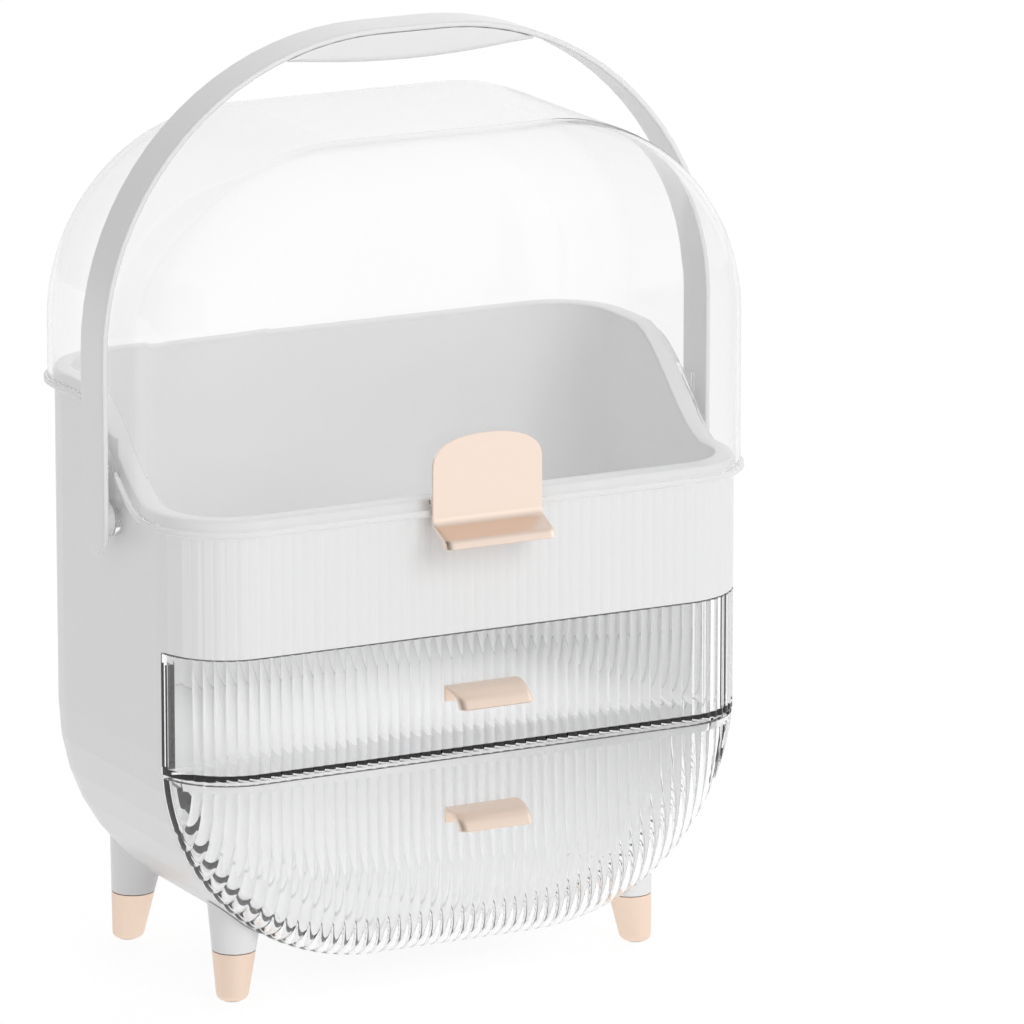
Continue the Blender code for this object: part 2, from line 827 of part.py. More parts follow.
def make_pull(name, top, parent):
    """A bent tongue: a plate on the drawer's face, and a cove that runs out to a thin lip."""
    face_y = -half_depth - fit_gap
    half = pull_width / 2
    angles = [math.pi / 2 * i / soft_steps for i in range(soft_steps + 1)]
    corner = [half - pull_corner_radius * (1 - math.sin(a)) for a in angles]
    xs = [-x for x in corner[::-1]] + corner
    rings = []
    for x in xs:
        reach = rounded_reach(x, half, pull_reach, pull_corner_radius)
        path = [(0, -pull_plate_height)] + cove_path(reach, pull_drop, pull_cove_power)
        outline = sheet_outline(path, pull_thickness)
        rings.append([(x, face_y - out, top + z) for out, z in outline])
    pull = add_piece(name, loft(rings), parent, rose_gold, smooth_limit)
    holes = bmesh.new()
    span = (face_y + cut_overrun, face_y - pull_screw_bite - fit_gap)
    for x, z in pull_screw_places(top):
        turned_y([(y, pull_screw_radius + fit_gap) for y in span], x, z, holes)
    combine(pull, "DIFFERENCE", add_cutter("cut_" + name, holes))


def make_pull_screws(name, top, parent):
    """Two screws put in from inside the drawer, into blind holes in the pull's plate."""
    seat_y = drawer_front_wall - half_depth + fit_gap
    profile = [
        (-half_depth - fit_gap - pull_screw_bite, pull_screw_radius),
        (seat_y, pull_screw_radius),
        (seat_y, pull_screw_head_radius),
        (seat_y + pull_screw_head_height, pull_screw_head_radius),
    ]
    for hand, (x, z) in zip(("left", "right"), pull_screw_places(top)):
        add_piece(name + "_" + hand, turned_y(profile, x, z), parent, steel, smooth_limit)


# Lid

def lid_columns(inset):
    """Places from front to rear as (y, inset of the outline there, plan normal)."""
    radius = edge_radius + lid_offset - inset
    columns = []
    for i in range(edge_steps + 1):
        angle = math.pi / 2 * i / edge_steps
        y = corner_y + radius * math.cos(angle)
        columns.append((y, inset + radius * (1 - math.sin(angle)), (math.sin(angle), math.cos(angle))))
    front = [(-y, moved, (nx, -ny)) for y, moved, (nx, ny) in columns]
    sides = [(y, inset, (1, 0)) for y in side_places()[1:-1]]
    return front + sides + columns[::-1]


def lid_arch(y, moved):
    """The lid's outline over its top at one place from front to rear, left to right."""
    radius = lid_corner_radius - moved
    points = []
    for side in (-1, 1):
        for i in range(corner_steps + 1):
            share = i / corner_steps if side < 0 else 1 - i / corner_steps
            angle = math.pi / 2 * share
            x = side * (lid_arc_x + radius * math.cos(angle))
            points.append((x, y, lid_arc_z + radius * math.sin(angle)))
    return points


def lid_outer_column(y, moved, normal):
    """The outside from the flange's lower left edge, over the top, to its lower right edge."""
    low = rim_height(y) - rim_band_height
    high = low + lid_flange_height
    wall_x = lid_half_width - moved
    flange_x = wall_x + lid_flange_reach * normal[0]
    flange_y = y + lid_flange_reach * normal[1]
    foot = [(flange_x, flange_y, low), (flange_x, flange_y, high), (wall_x, y, high)]
    left = [(-x, along, z) for x, along, z in foot]
    return left + lid_arch(y, moved) + foot[::-1]


def lid_inner_column(y, moved, _):
    low = rim_height(y) - rim_band_height
    wall_x = lid_half_width - moved
    return [(-wall_x, y, low)] + lid_arch(y, moved) + [(wall_x, y, low)]


def lid_form():
    """A thin dome with a small flange, open below along the S-shaped rim."""
    shape = bmesh.new()
    outer = add_grid(shape, [lid_outer_column(*place) for place in lid_columns(0)])
    inner = add_grid(shape, [lid_inner_column(*place) for place in lid_columns(lid_wall)])
    for outside, next_outside, inside, next_inside in zip(outer, outer[1:], inner, inner[1:]):
        for end in (0, -1):
            shape.faces.new((outside[end], next_outside[end], next_inside[end], inside[end]))
    for end in (0, -1):
        outside, inside = outer[end], inner[end]
        shape.faces.new((outside[0], outside[-1], inside[-1], inside[0]))
        for i in range(2):
            shape.faces.new((outside[i], outside[i + 1], outside[-i - 2], outside[-i - 1]))
        shape.faces.new(outside[2:-2])
        shape.faces.new(inside)
    return shape


def lid_ears():
    """Tabs that reach down from the lid's sides to the pivots, with round ends."""
    shape = bmesh.new()
    radius = ear_width / 2
    steps = pin_sides // 2
    arc = [math.pi * i / steps for i in range(steps + 1)]
    top = rim_height(pivot_y) - rim_band_height + ear_overlap
    outline = [(pivot_y - radius * math.cos(a), pivot_height - radius * math.sin(a)) for a in arc]
    outline += [(pivot_y + radius, top), (pivot_y - radius, top)]
    for side in (-1, 1):
        loft([[(side * x, y, z) for y, z in outline] for x in (ear_inner_x, ear_outer_x)], shape)
    return shape


def make_lid():
    lid = add_piece("lid_dome", lid_form(), lid_axis, clear_plastic, smooth_limit)
    combine(lid, "UNION", add_cutter("lid_ears", lid_ears()))
    holes = bmesh.new()
    for side in (-1, 1):
        span = (side * (ear_inner_x - ear_gap / 2), side * (ear_outer_x + cut_overrun))
        turned_x([(x, bush_hole_radius) for x in span], pivot_y, pivot_height, holes)
    combine(lid, "DIFFERENCE", add_cutter("cut_lid_pivots", holes))


# Pivots

def make_pivot(name, side):
    """A flanged bush in the case's wall, a spacer against the handle and a screw through both."""
    inner_x = half_width - case_wall
    flange_x = inner_x - fit_gap
    bush_profile = [
        (flange_x - pivot_bush_flange_height, bush_inner_radius),
        (flange_x - pivot_bush_flange_height, pivot_bush_flange_radius),
        (flange_x, pivot_bush_flange_radius),
        (flange_x, bush_outer_radius),
        (ear_outer_x, bush_outer_radius),
        (ear_outer_x, bush_inner_radius),
    ]
    add_piece("pivot_bush_" + name, ring_x(bush_profile, side), organizer, acetal, smooth_limit)
    spacer_profile = [
        (spacer_inner_x, bush_inner_radius),
        (spacer_inner_x, spacer_radius),
        (spacer_inner_x + spacer_thickness, spacer_radius),
        (spacer_inner_x + spacer_thickness, bush_inner_radius),
    ]
    add_piece("pivot_spacer_" + name, ring_x(spacer_profile, side), handle_axis, white_plastic, smooth_limit)
    seat_x = flange_x - pivot_bush_flange_height - fit_gap
    tip_x = handle_half_width - pivot_hole_floor - fit_gap
    screw_profile = [
        (seat_x - pivot_screw_head_height, pivot_screw_head_radius),
        (seat_x, pivot_screw_head_radius),
        (seat_x, pivot_screw_radius),
        (tip_x, pivot_screw_radius),
    ]
    screw_profile = [(side * x, radius) for x, radius in screw_profile]
    screw = turned_x(screw_profile, pivot_y, pivot_height)
    add_piece("pivot_screw_" + name, screw, handle_axis, steel, smooth_limit)


def ring_x(profile, side):
    """A closed ring about the pivot axis, whose profile goes once round its section."""
    shape = bmesh.new()
    angles = [2 * math.pi * i / pin_sides for i in range(pin_sides)]
    rows = []
    for x, radius in profile:
        row = []
        for a in angles:
            point = (side * x, pivot_y + radius * math.cos(a), pivot_height + radius * math.sin(a))
            row.append(shape.verts.new(point))
        rows.append(row)
    for low, high in zip(rows, rows[1:] + rows[:1]):
        for i in range(pin_sides):
            j = (i + 1) % pin_sides
            shape.faces.new((low[i], low[j], high[j], high[i]))
    return shape


# Handle

def handle_section(x, z, normal, half):
    """The band's section at a point of its outer face, with the normal pointing outward."""
    soft = handle_edge_chamfer
    deep = handle_thickness
    corners = [(0, half - soft), (soft, half), (deep - soft, half), (deep, half - soft)]
    corners += [(depth, -across) for depth, across in corners[::-1]]
    return [
        (x - depth * normal[0], pivot_y + across, z - depth * normal[1]) for depth, across in corners
    ]


def handle_leg_end():
    """Rings that round off a leg's lower end, from its tip to its full width, as (z, half width)."""
    radius = handle_width / 2
    centre = pivot_height - handle_end_drop + radius
    angles = [handle_end_angle * (1 - i / handle_end_steps) for i in range(handle_end_steps + 1)]
    return [(centre - radius * math.sin(a), radius * math.cos(a)) for a in angles]


def make_handle():
    """A flat band: two straight legs and an arch with a short level top."""
    rings = []
    for z, half in handle_leg_end():
        rings.append(handle_section(-handle_half_width, z, (-1, 0), half))
    steps = 2 * corner_steps
    for side in (-1, 1):
        for i in range(steps + 1):
            share = i / steps if side < 0 else 1 - i / steps
            nx, nz = side * math.cos(math.pi / 2 * share), math.sin(math.pi / 2 * share)
            x = side * handle_flat_half + handle_arch_radius * nx
            z = handle_arc_z + handle_arch_radius * nz
            rings.append(handle_section(x, z, (nx, nz), handle_width / 2))
    for z, half in handle_leg_end()[::-1]:
        rings.append(handle_section(handle_half_width, z, (1, 0), half))
    band = add_piece("handle_band", loft(rings), handle_axis, white_plastic, smooth_limit)
    holes = bmesh.new()
    for side in (-1, 1):
        span = (side * (handle_inner_x - cut_overrun), side * (handle_half_width - pivot_hole_floor))
        turned_x([(x, bush_inner_radius) for x in span], pivot_y, pivot_height, holes)
    combine(band, "DIFFERENCE", add_cutter("cut_handle_pivots", holes))


def handle_underside(x):
    """The height of the band's inner face above a place across its arch."""
    radius = handle_arch_radius - handle_thickness
    past = max(abs(x) - handle_flat_half, 0)
    return handle_arc_z + math.sqrt(radius ** 2 - past ** 2)


def make_grip():
    """A lens-shaped grip under the top of the arch, with its lower edges rounded."""
    half_length = grip_length / 2
    tip_low = handle_underside(half_length) - fit_gap - grip_tip_depth
    middle_low = handle_top_height - handle_thickness - fit_gap - grip_depth
    steps = 2 * edge_steps
    rings = []
    for i in range(steps + 1):
        share = 2 * i / steps - 1
        x = half_length * share
        high = handle_underside(x) - fit_gap
        low = tip_low + (middle_low - tip_low) * (1 - share ** 2)
        soft = min(grip_edge_radius, (high - low) / 2)
        rings.append(grip_ring(x, low, high, soft))
    add_piece("handle_grip", loft(rings), handle_axis, white_plastic, smooth_limit)


def grip_ring(x, low, high, soft):
    half = handle_width / 2 - handle_edge_chamfer
    points = [(half, high)]
    for i in range(soft_steps):
        angle = math.pi / 2 * i / (soft_steps - 1)
        points.append((half - soft * (1 - math.cos(angle)), low + soft * (1 - math.sin(angle))))
    points += [(-y, z) for y, z in points[::-1]]
    return [(x, pivot_y + y, z) for y, z in points]


# Latch

def latch_arch_height(x):
    """The latch's arched top edge: level in the middle, rounded down to its shoulders."""
    share = min(abs(x) / (latch_width / 2), 1)
    rise = latch_top_height - latch_shoulder_height
    return latch_shoulder_height + rise * (1 - share ** latch_arch_power) ** (1 / latch_arch_power)


def latch_stations():
    """Places across the latch, closer together towards its rounded sides."""
    steps = 2 * corner_steps
    return [-latch_width / 2 * math.cos(math.pi * i / steps) for i in range(steps + 1)]


def latch_plate():
    rings = []
    for x in latch_stations():
        reach = rounded_reach(x, latch_width / 2, latch_lip_reach, latch_lip_corner)
        cove = cove_path(reach, latch_lip_drop, latch_cove_power)
        path = [(0, latch_arch_height(x))]
        path += [(out, latch_bend_height + z) for out, z in cove]
        outline = sheet_outline(path, latch_thickness)
        rings.append([(x, latch_front_y - out, z) for out, z in outline])
    return loft(rings)


def latch_webs():
    """Webs that join the knuckles to the plate, and the hook that closes under the keeper."""
    shape = bmesh.new()
    outer = latch_width / 2
    web = latch_knuckle_radius * math.sqrt(0.5)
    inside_plate = latch_back_y - latch_thickness / 2
    for side in (-1, 1):
        xs = sorted((side * (outer - fit_gap), side * (outer - latch_knuckle_length)))
        low = (xs[0], inside_plate, latch_pin_height - web)
        add_box(low, (xs[1], latch_pin_y, latch_pin_height + web), shape)
    keeper_low = rim_front_height - rim_band_height - fit_gap - 2 * keeper_height
    hook_high = keeper_low - fit_gap
    root_y = latch_front_y - latch_hook_root
    low = (-latch_hook_width / 2, root_y, hook_high - latch_hook_height)
    tip_y = -half_depth - keeper_reach - fit_gap
    add_box(low, (latch_hook_width / 2, tip_y, hook_high), shape)
    return shape


def latch_knuckles():
    shape = bmesh.new()
    outer = latch_width / 2
    for side in (-1, 1):
        span = (side * (outer - latch_knuckle_length), side * outer)
        turned_x([(x, latch_knuckle_radius) for x in span], latch_pin_y, latch_pin_height, shape)
    return shape


def pin_bore():
    span = (-latch_width, latch_width)
    return turned_x([(x, latch_pin_radius + fit_gap) for x in span], latch_pin_y, latch_pin_height)


def make_latch():
    latch = add_piece("latch", latch_plate(), latch_axis, rose_gold, smooth_limit)
    combine(latch, "UNION", add_cutter("latch_webs", latch_webs()))
    combine(latch, "UNION", add_cutter("latch_knuckles", latch_knuckles()))
    combine(latch, "DIFFERENCE", add_cutter("cut_latch_bore", pin_bore()))


def make_latch_bracket():
    """A small plate on the lid's front with the middle knuckle of the latch's hinge."""
    half = latch_width / 2 - latch_knuckle_length - fit_gap
    wall_y = -lid_half_depth - fit_gap
    low = (-half, wall_y - bracket_thickness, latch_pin_height - bracket_below_pin)
    plate = add_box(low, (half, wall_y, latch_pin_height + bracket_above_pin))
    bracket = add_piece("latch_bracket", plate, lid_axis, rose_gold, smooth_limit)
    profile = [(side * (half - fit_gap), bracket_knuckle_radius) for side in (-1, 1)]
    knuckle = turned_x(profile, latch_pin_y, latch_pin_height)
    combine(bracket, "UNION", add_cutter("bracket_knuckle", knuckle))
    combine(bracket, "DIFFERENCE", add_cutter("cut_bracket_bore", pin_bore()))


def make_latch_pin():
    half = latch_width / 2 - fit_gap
    pin = turned_x([(x, latch_pin_radius) for x in (-half, half)], latch_pin_y, latch_pin_height)
    add_piece("latch_pin", pin, lid_axis, steel, smooth_limit)


# Legs

def leg_radius(z):
    return leg_foot_radius + leg_taper * z


def make_leg(name, side_x, foot_y, clearance):
    """A splayed white leg, cut to the case's underside and bored for its screw and peg."""
    low = leg_tip_height + fit_gap
    rings = [leg_ring(side_x, foot_y, z, leg_radius(z)) for z in (low, leg_top_height)]
    leg = add_piece("leg_" + name, loft(rings), organizer, white_plastic, smooth_limit)
    combine(leg, "DIFFERENCE", clearance)
    peg_low, peg_high = peg_span(side_x, foot_y)
    bore = [
        (low - cut_overrun, tip_spigot_radius + fit_gap),
        (low + leg_counterbore_depth, tip_spigot_radius + fit_gap),
        (low + leg_counterbore_depth, leg_screw_radius + fit_gap),
        (peg_low - fit_gap, leg_screw_radius + fit_gap),
        (peg_low - fit_gap, peg_radius + fit_gap),
        (peg_high + cut_overrun, peg_radius + fit_gap),
    ]
    shape = loft([leg_ring(side_x, foot_y, z, radius) for z, radius in bore])
    combine(leg, "DIFFERENCE", add_cutter("cut_leg_" + name, shape))


def make_leg_tip(name, side_x, foot_y):
    """A gold tip with a rounded foot, a recess for its pad and a spigot into the leg."""
    soft = leg_edge_radius
    low = pad_proud
    recess = pad_thickness + fit_gap
    profile = [(recess, pad_radius + fit_gap), (low, pad_radius + fit_gap)]
    for i in range(soft_steps + 1):
        angle = math.pi / 2 * i / soft_steps
        z = low + soft * (1 - math.cos(angle))
        profile.append((z, leg_radius(z) - soft * (1 - math.sin(angle))))
    top = leg_tip_height
    profile += [(top, leg_radius(top)), (top, tip_spigot_radius)]
    profile.append((top + fit_gap + tip_spigot_height, tip_spigot_radius))
    tip = loft([leg_ring(side_x, foot_y, z, radius) for z, radius in profile])
    add_piece("leg_tip_" + name, tip, organizer, satin_gold, smooth_limit)


def make_foot_pad(name, side_x, foot_y):
    rings = [leg_ring(side_x, foot_y, z, pad_radius) for z in (0, pad_thickness)]
    add_piece("foot_pad_" + name, loft(rings), organizer, rubber, smooth_limit)


def make_leg_screw(name, side_x, foot_y):
    """A screw with its head in the leg's counterbore and its end in the case's peg."""
    seat = leg_tip_height + leg_counterbore_depth
    _, peg_high = peg_span(side_x, foot_y)
    profile = [
        (seat - leg_screw_head_height, leg_screw_head_radius),
        (seat, leg_screw_head_radius),
        (seat, leg_screw_radius),
        (peg_high - peg_rise - fit_gap, leg_screw_radius),
    ]
    screw = loft([leg_ring(side_x, foot_y, z, radius) for z, radius in profile])
    add_piece("leg_screw_" + name, screw, organizer, steel, smooth_limit)


def make_legs():
    clearance = add_cutter("leg_clearance", case_form(-fit_gap, apron_underside))
    for name, side_x, foot_y in leg_places():
        make_leg(name, side_x, foot_y, clearance)
        make_leg_tip(name, side_x, foot_y)
        make_foot_pad(name, side_x, foot_y)
        make_leg_screw(name, side_x, foot_y)


clear_scene()
organizer = add_empty("organizer", (0, 0, 0))
organizer.location = (0, -object_middle_y, 0)
lid_axis = add_empty("lid_axis", (0, pivot_y, pivot_height), organizer)
handle_axis = add_empty("handle_axis", (0, pivot_y, pivot_height), organizer)
upper_slide = add_empty("upper_slide", (0, seam_y, upper_box_low), organizer)
lower_slide = add_empty("lower_slide", (0, seam_y, case_underside), organizer)
latch_axis = add_empty("latch_axis", (0, latch_pin_y, latch_pin_height), lid_axis)

make_case()
make_tray()
make_shelf()
make_upper_drawer()
make_lower_drawer()
for level, height, slide in (
    ("upper", upper_pull_height, upper_slide),
    ("lower", lower_pull_height, lower_slide),
):
    make_pull(level + "_drawer_pull", height, slide)
    make_pull_screws(level + "_pull_screw", height, slide)
make_lid()
for hand, direction in (("left", -1), ("right", 1)):
    make_pivot(hand, direction)
make_handle()
make_grip()
make_latch()
make_latch_bracket()
make_latch_pin()
make_legs()
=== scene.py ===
"""Looks of the dustproof makeup organizer: white and clear plastic with rose gold trim."""

import json
import math

import bmesh
import bpy
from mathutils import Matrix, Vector


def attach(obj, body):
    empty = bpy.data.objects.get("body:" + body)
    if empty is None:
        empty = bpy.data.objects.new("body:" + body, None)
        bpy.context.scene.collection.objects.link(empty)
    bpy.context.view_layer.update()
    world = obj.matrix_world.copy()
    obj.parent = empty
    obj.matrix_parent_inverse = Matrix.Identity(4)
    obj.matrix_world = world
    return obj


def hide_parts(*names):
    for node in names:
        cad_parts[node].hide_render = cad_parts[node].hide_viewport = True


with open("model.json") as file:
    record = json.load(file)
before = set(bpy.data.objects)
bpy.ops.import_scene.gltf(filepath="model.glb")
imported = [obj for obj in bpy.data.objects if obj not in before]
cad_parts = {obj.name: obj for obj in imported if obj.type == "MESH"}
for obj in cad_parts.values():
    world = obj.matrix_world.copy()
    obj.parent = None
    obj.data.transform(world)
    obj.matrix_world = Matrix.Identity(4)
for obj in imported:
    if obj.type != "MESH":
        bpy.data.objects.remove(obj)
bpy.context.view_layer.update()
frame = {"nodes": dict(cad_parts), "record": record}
bodies = frame["record"]["behaviour"]["bodies"]
body_of = {node: body for body, held in bodies.items() for node in held}
slot_of = {entry["node"]: entry["material_slot"] for entry in frame["record"]["subparts"]}

# Sizes of the case, in its own frame, as in the CAD
frame_shift_y = 0.0087
half_width = 0.145
half_depth = 0.085
edge_radius = 0.035
corner_x = half_width - edge_radius
corner_y = half_depth - edge_radius
underside = 0.017
bottom_radius = 0.105
arc_x = half_width - bottom_radius
arc_z = underside + bottom_radius
seam_y = -0.0539
split_height = 0.114
apron_underside = 0.172
case_wall = 0.003
shelf_top = 0.1152
rim_front = 0.236
rim_rise = 0.044
rim_middle = -0.010
rim_length = 0.070
rim_band = 0.0075

# Sizes of the lid
lid_offset = 0.003
lid_wall = 0.002
lid_top = 0.396
lid_radius = 0.094
flange_reach = 0.0018
flange_height = 0.003
flange_round = 0.0005
pivot_y = -0.0072
pivot_z = 0.224
ear_radius = 0.0085
ear_inner_x = 0.1458
ear_outer_x = 0.1483
ear_overlap = 0.009
ear_bore = 0.0051
ear_hole_span = (0.1454, 0.152)

# Sizes of the drawers
box_wall = 0.0022
front_wall = 0.0025
flute_pitch = 0.0054
flute_depth = 0.00095
fluted_corner = math.radians(53)
rib_radius = ((flute_pitch / 2) ** 2 + flute_depth ** 2) / (2 * flute_depth)
upper_front_low = 0.115
upper_front_high = 0.1712
upper_box_top = 0.1655
upper_box_inset = case_wall + 0.0012
lower_front_high = split_height - 0.001
lower_box_top = 0.108
lower_box_inset = case_wall + 0.0035
glide_gap = 0.0003
plain_band = 0.0033
band_step = 0.0003
screw_x = 0.012
screw_drop = 0.0045
screw_bore = 0.0015
cutter_spare = 0.004

# Sizes of the pulls, with their bends as (out, up) from the top edge and the cut at each bend
pull_tops = {"upper_drawer_pull": 0.1475, "lower_drawer_pull": 0.0905}
pull_half = 0.0182
pull_corner = 0.003
pull_reach = 0.019
pull_ledge = 0.0046
pull_sheet = 0.0014
pull_gap = 0.0003
pull_bends = [(0, -0.0066), (0, 0.001), (0.0085, 0.0006), (0.0158, -0.0021), (pull_reach, -0.0065)]
pull_cuts = (0.0014, 0.0032, 0.0026)

# Sizes of the latch, as in the CAD but for its lip and the hook's root, which reaches the lip
latch_half = 0.0275
latch_front_y = -0.0932
latch_sheet = 0.0015
latch_top = 0.2654
latch_shoulder = 0.251
latch_arch_power = 2.4
latch_bend = 0.2255
latch_corner = 0.003
latch_reach = 0.0148
latch_bends = [(0, latch_bend), (0.0132, latch_bend - 0.005), (latch_reach, latch_bend - 0.0083)]
latch_cuts = (0.0032, 0.0014)
latch_pin_y = -0.0899
latch_pin_z = 0.2355
latch_bore = 0.0011
latch_bore_reach = 0.03
knuckle_radius = 0.0016
knuckle_length = 0.008
web_gap = 0.0003
web_sink = 0.0008
hook_half = 0.015
hook_root = 0.0085
hook_height = 0.0023
hook_drop = 0.0066
hook_tip = 0.0034

# Numbers of faces
edge_steps = 12
arch_steps = 26
side_steps = 36
flute_parts = 8
plain_steps = 8
hollow_steps = 16
front_rows = 14
round_steps = 6
ear_steps = 24
bore_steps = 32
screw_steps = 24
latch_steps = 48

merge_distance = 0.000001


# Materials

def new_material(name):
    material = bpy.data.materials.new(name)
    material.use_nodes = True
    nodes = material.node_tree.nodes
    return material, nodes, material.node_tree.links, nodes["Principled BSDF"]


def add_noise(nodes, links, scale, detail, roughness=0.5, stretch=(1, 1, 1)):
    """Noise in the object's own coordinates, stretched along chosen axes."""
    mapping = nodes.new("ShaderNodeMapping")
    mapping.inputs["Scale"].default_value = stretch
    noise = nodes.new("ShaderNodeTexNoise")
    noise.inputs["Scale"].default_value = scale
    noise.inputs["Detail"].default_value = detail
    noise.inputs["Roughness"].default_value = roughness
    place = nodes.new("ShaderNodeTexCoord")
    links.new(place.outputs["Object"], mapping.inputs["Vector"])
    links.new(mapping.outputs["Vector"], noise.inputs["Vector"])
    return noise.outputs["Fac"]


def add_range(nodes, links, source, low, high):
    remap = nodes.new("ShaderNodeMapRange")
    remap.inputs["To Min"].default_value = low
    remap.inputs["To Max"].default_value = high
    links.new(source, remap.inputs["Value"])
    return remap.outputs["Result"]


def add_tint(nodes, links, source, dark, light):
    mix = nodes.new("ShaderNodeMix")
    mix.data_type = "RGBA"
    mix.inputs["A"].default_value = (*dark, 1)
    mix.inputs["B"].default_value = (*light, 1)
    links.new(source, mix.inputs["Factor"])
    return mix.outputs["Result"]


def add_edge_tint(nodes, links, source, edge):
    """The colour of the source, fading to the edge's where the surface is seen at a slant."""
    slant = nodes.new("ShaderNodeLayerWeight")
    slant.inputs["Blend"].default_value = 0.2
    fade = nodes.new("ShaderNodeMix")
    fade.data_type = "RGBA"
    fade.inputs["B"].default_value = (*edge, 1)
    links.new(slant.outputs["Facing"], fade.inputs["Factor"])
    links.new(source, fade.inputs["A"])
    return fade.outputs["Result"]


def add_bump(nodes, links, source, shader, strength, distance):
    bump = nodes.new("ShaderNodeBump")
    bump.inputs["Strength"].default_value = strength
    bump.inputs["Distance"].default_value = distance
    links.new(source, bump.inputs["Height"])
    links.new(bump.outputs["Normal"], shader.inputs["Normal"])


def mix_shaders(nodes, links, factor, first, second):
    mix = nodes.new("ShaderNodeMixShader")
    links.new(factor, mix.inputs["Fac"])
    links.new(first, mix.inputs[1])
    links.new(second, mix.inputs[2])
    return mix.outputs["Shader"]


def white_plastic_material():
    """Semi-gloss moulded plastic with faint flow marks and a fine orange peel."""
    material, nodes, links, shader = new_material("moulded_white")
    flow = add_noise(nodes, links, 14, 2)
    tint = add_tint(nodes, links, flow, (0.935, 0.935, 0.938), (0.955, 0.955, 0.958))
    links.new(tint, shader.inputs["Base Color"])
    polish = add_range(nodes, links, add_noise(nodes, links, 60, 3), 0.26, 0.36)
    links.new(polish, shader.inputs["Roughness"])
    add_bump(nodes, links, add_noise(nodes, links, 900, 2), shader, 0.08, 0.0002)
    shader.inputs["IOR"].default_value = 1.5
    return material


def clear_plastic_material(name, tint, roughness, ior, let_through, edge=None, clear=1):
    """Clear moulded plastic, faintly wavy and slightly uneven in polish.

    Lamp light and soft light go straight through it, dimmed a little at each surface.
    With an edge colour it turns to that colour at a slant.
    """
    material, nodes, links, shader = new_material(name)
    colour = add_tint(nodes, links, add_noise(nodes, links, 9, 1), tint, (1, 1, 1))
    if edge:
        colour = add_edge_tint(nodes, links, colour, edge)
    links.new(colour, shader.inputs["Base Color"])
    polish = add_range(nodes, links, add_noise(nodes, links, 40, 2), *roughness)
    links.new(polish, shader.inputs["Roughness"])
    shader.inputs["Transmission Weight"].default_value = clear
    shader.inputs["IOR"].default_value = ior
    straight = nodes.new("ShaderNodeBsdfTransparent")
    straight.inputs["Color"].default_value = (let_through, let_through, let_through, 1)
    rays = nodes.new("ShaderNodeLightPath")
    surface = shader.outputs["BSDF"]
    for kind in ("Is Shadow Ray", "Is Diffuse Ray"):
        surface = mix_shaders(nodes, links, rays.outputs[kind], surface, straight.outputs["BSDF"])
    links.new(surface, nodes["Material Output"].inputs["Surface"])
    return material


def grained_material(name, colours, roughness, metallic, grain, bump):
    """A material whose colour, roughness and surface all follow one fine noise."""
    material, nodes, links, shader = new_material(name)
    noise = add_noise(nodes, links, *grain)
    links.new(add_tint(nodes, links, noise, *colours), shader.inputs["Base Color"])
    links.new(add_range(nodes, links, noise, *roughness), shader.inputs["Roughness"])
    add_bump(nodes, links, noise, shader, *bump)
    shader.inputs["Metallic"].default_value = metallic
    return material


def plated_material(name, dark, light, roughness, metallic=1):
    """Plated metal with a fine grain along x."""
    grain, bump = (700, 3, 0.6, (0.3, 1, 1)), (0.03, 0.00002)
    return grained_material(name, (dark, light), roughness, metallic, grain, bump)


def plain_material(name, dark, light, roughness, metallic, scale):
    return grained_material(name, (dark, light), roughness, metallic, (scale, 3), (0.1, 0.0001))


looks = {
    "white_plastic": white_plastic_material(),
    "clear_plastic": clear_plastic_material("clear_moulded", (0.985, 0.988, 0.99), (0, 0.02), 1.5, 0.99),
    "rose_gold": plated_material("rose_gold_plate", (0.93, 0.77, 0.66), (0.945, 0.79, 0.685), (0.29, 0.34)),
    "satin_gold": plated_material("satin_gold_coat", (0.90, 0.72, 0.59), (0.94, 0.76, 0.64), (0.42, 0.55)),
    "steel": plain_material("plated_steel", (0.55, 0.55, 0.56), (0.68, 0.68, 0.69), (0.25, 0.4), 1, 300),
    "acetal": plain_material("plain_acetal", (0.80, 0.80, 0.78), (0.85, 0.85, 0.83), (0.4, 0.55), 0, 200),
    "rubber": plain_material("grey_rubber", (0.45, 0.45, 0.45), (0.55, 0.55, 0.55), (0.7, 0.9), 0, 400),
}
# Painted light: the pulls' rose gold is the latch's plating in a lighter colour and with less metal, so the
# pulls show brighter than their own shading makes them.
pull_gold_painted_lighter = plated_material(
    "rose_gold_pull_painted_lighter", (0.98, 0.80, 0.675), (0.99, 0.82, 0.695), (0.29, 0.34), metallic=0.7
)
lid_clear = clear_plastic_material(
    "clear_lid", (0.975, 0.975, 0.975), (0, 0.01), 1.3, 0.995, edge=(0.80, 0.80, 0.80)
)
lid_frosted = clear_plastic_material("clear_edge", (0.94, 0.94, 0.94), (0.2, 0.3), 1.3, 0.97, clear=0.25)
for node, obj in frame["nodes"].items():
    obj.data.materials.clear()
    obj.data.materials.append(looks[slot_of[node]])


# Shapes

def add_grid(shape, columns):
    """Faces between neighbouring columns of points, open all round."""
    rows = [[shape.verts.new(point) for point in column] for column in columns]
    for left, right in zip(rows, rows[1:]):
        for i in range(len(left) - 1):
            shape.faces.new((left[i], left[i + 1], right[i + 1], right[i]))
    return rows


def loft(rings, shape=None):
    """A closed body through rings of equal length."""
    shape = shape or bmesh.new()
    rows = [[shape.verts.new(point) for point in ring] for ring in rings]
    for low, high in zip(rows, rows[1:]):
        for i in range(len(low)):
            j = (i + 1) % len(low)
            shape.faces.new((low[i], low[j], high[j], high[i]))
    shape.faces.new(rows[0])
    shape.faces.new(rows[-1])
    return shape


def prism(outline, low, high):
    return loft([[(x, y, z) for x, y in outline] for z in (low, high)])


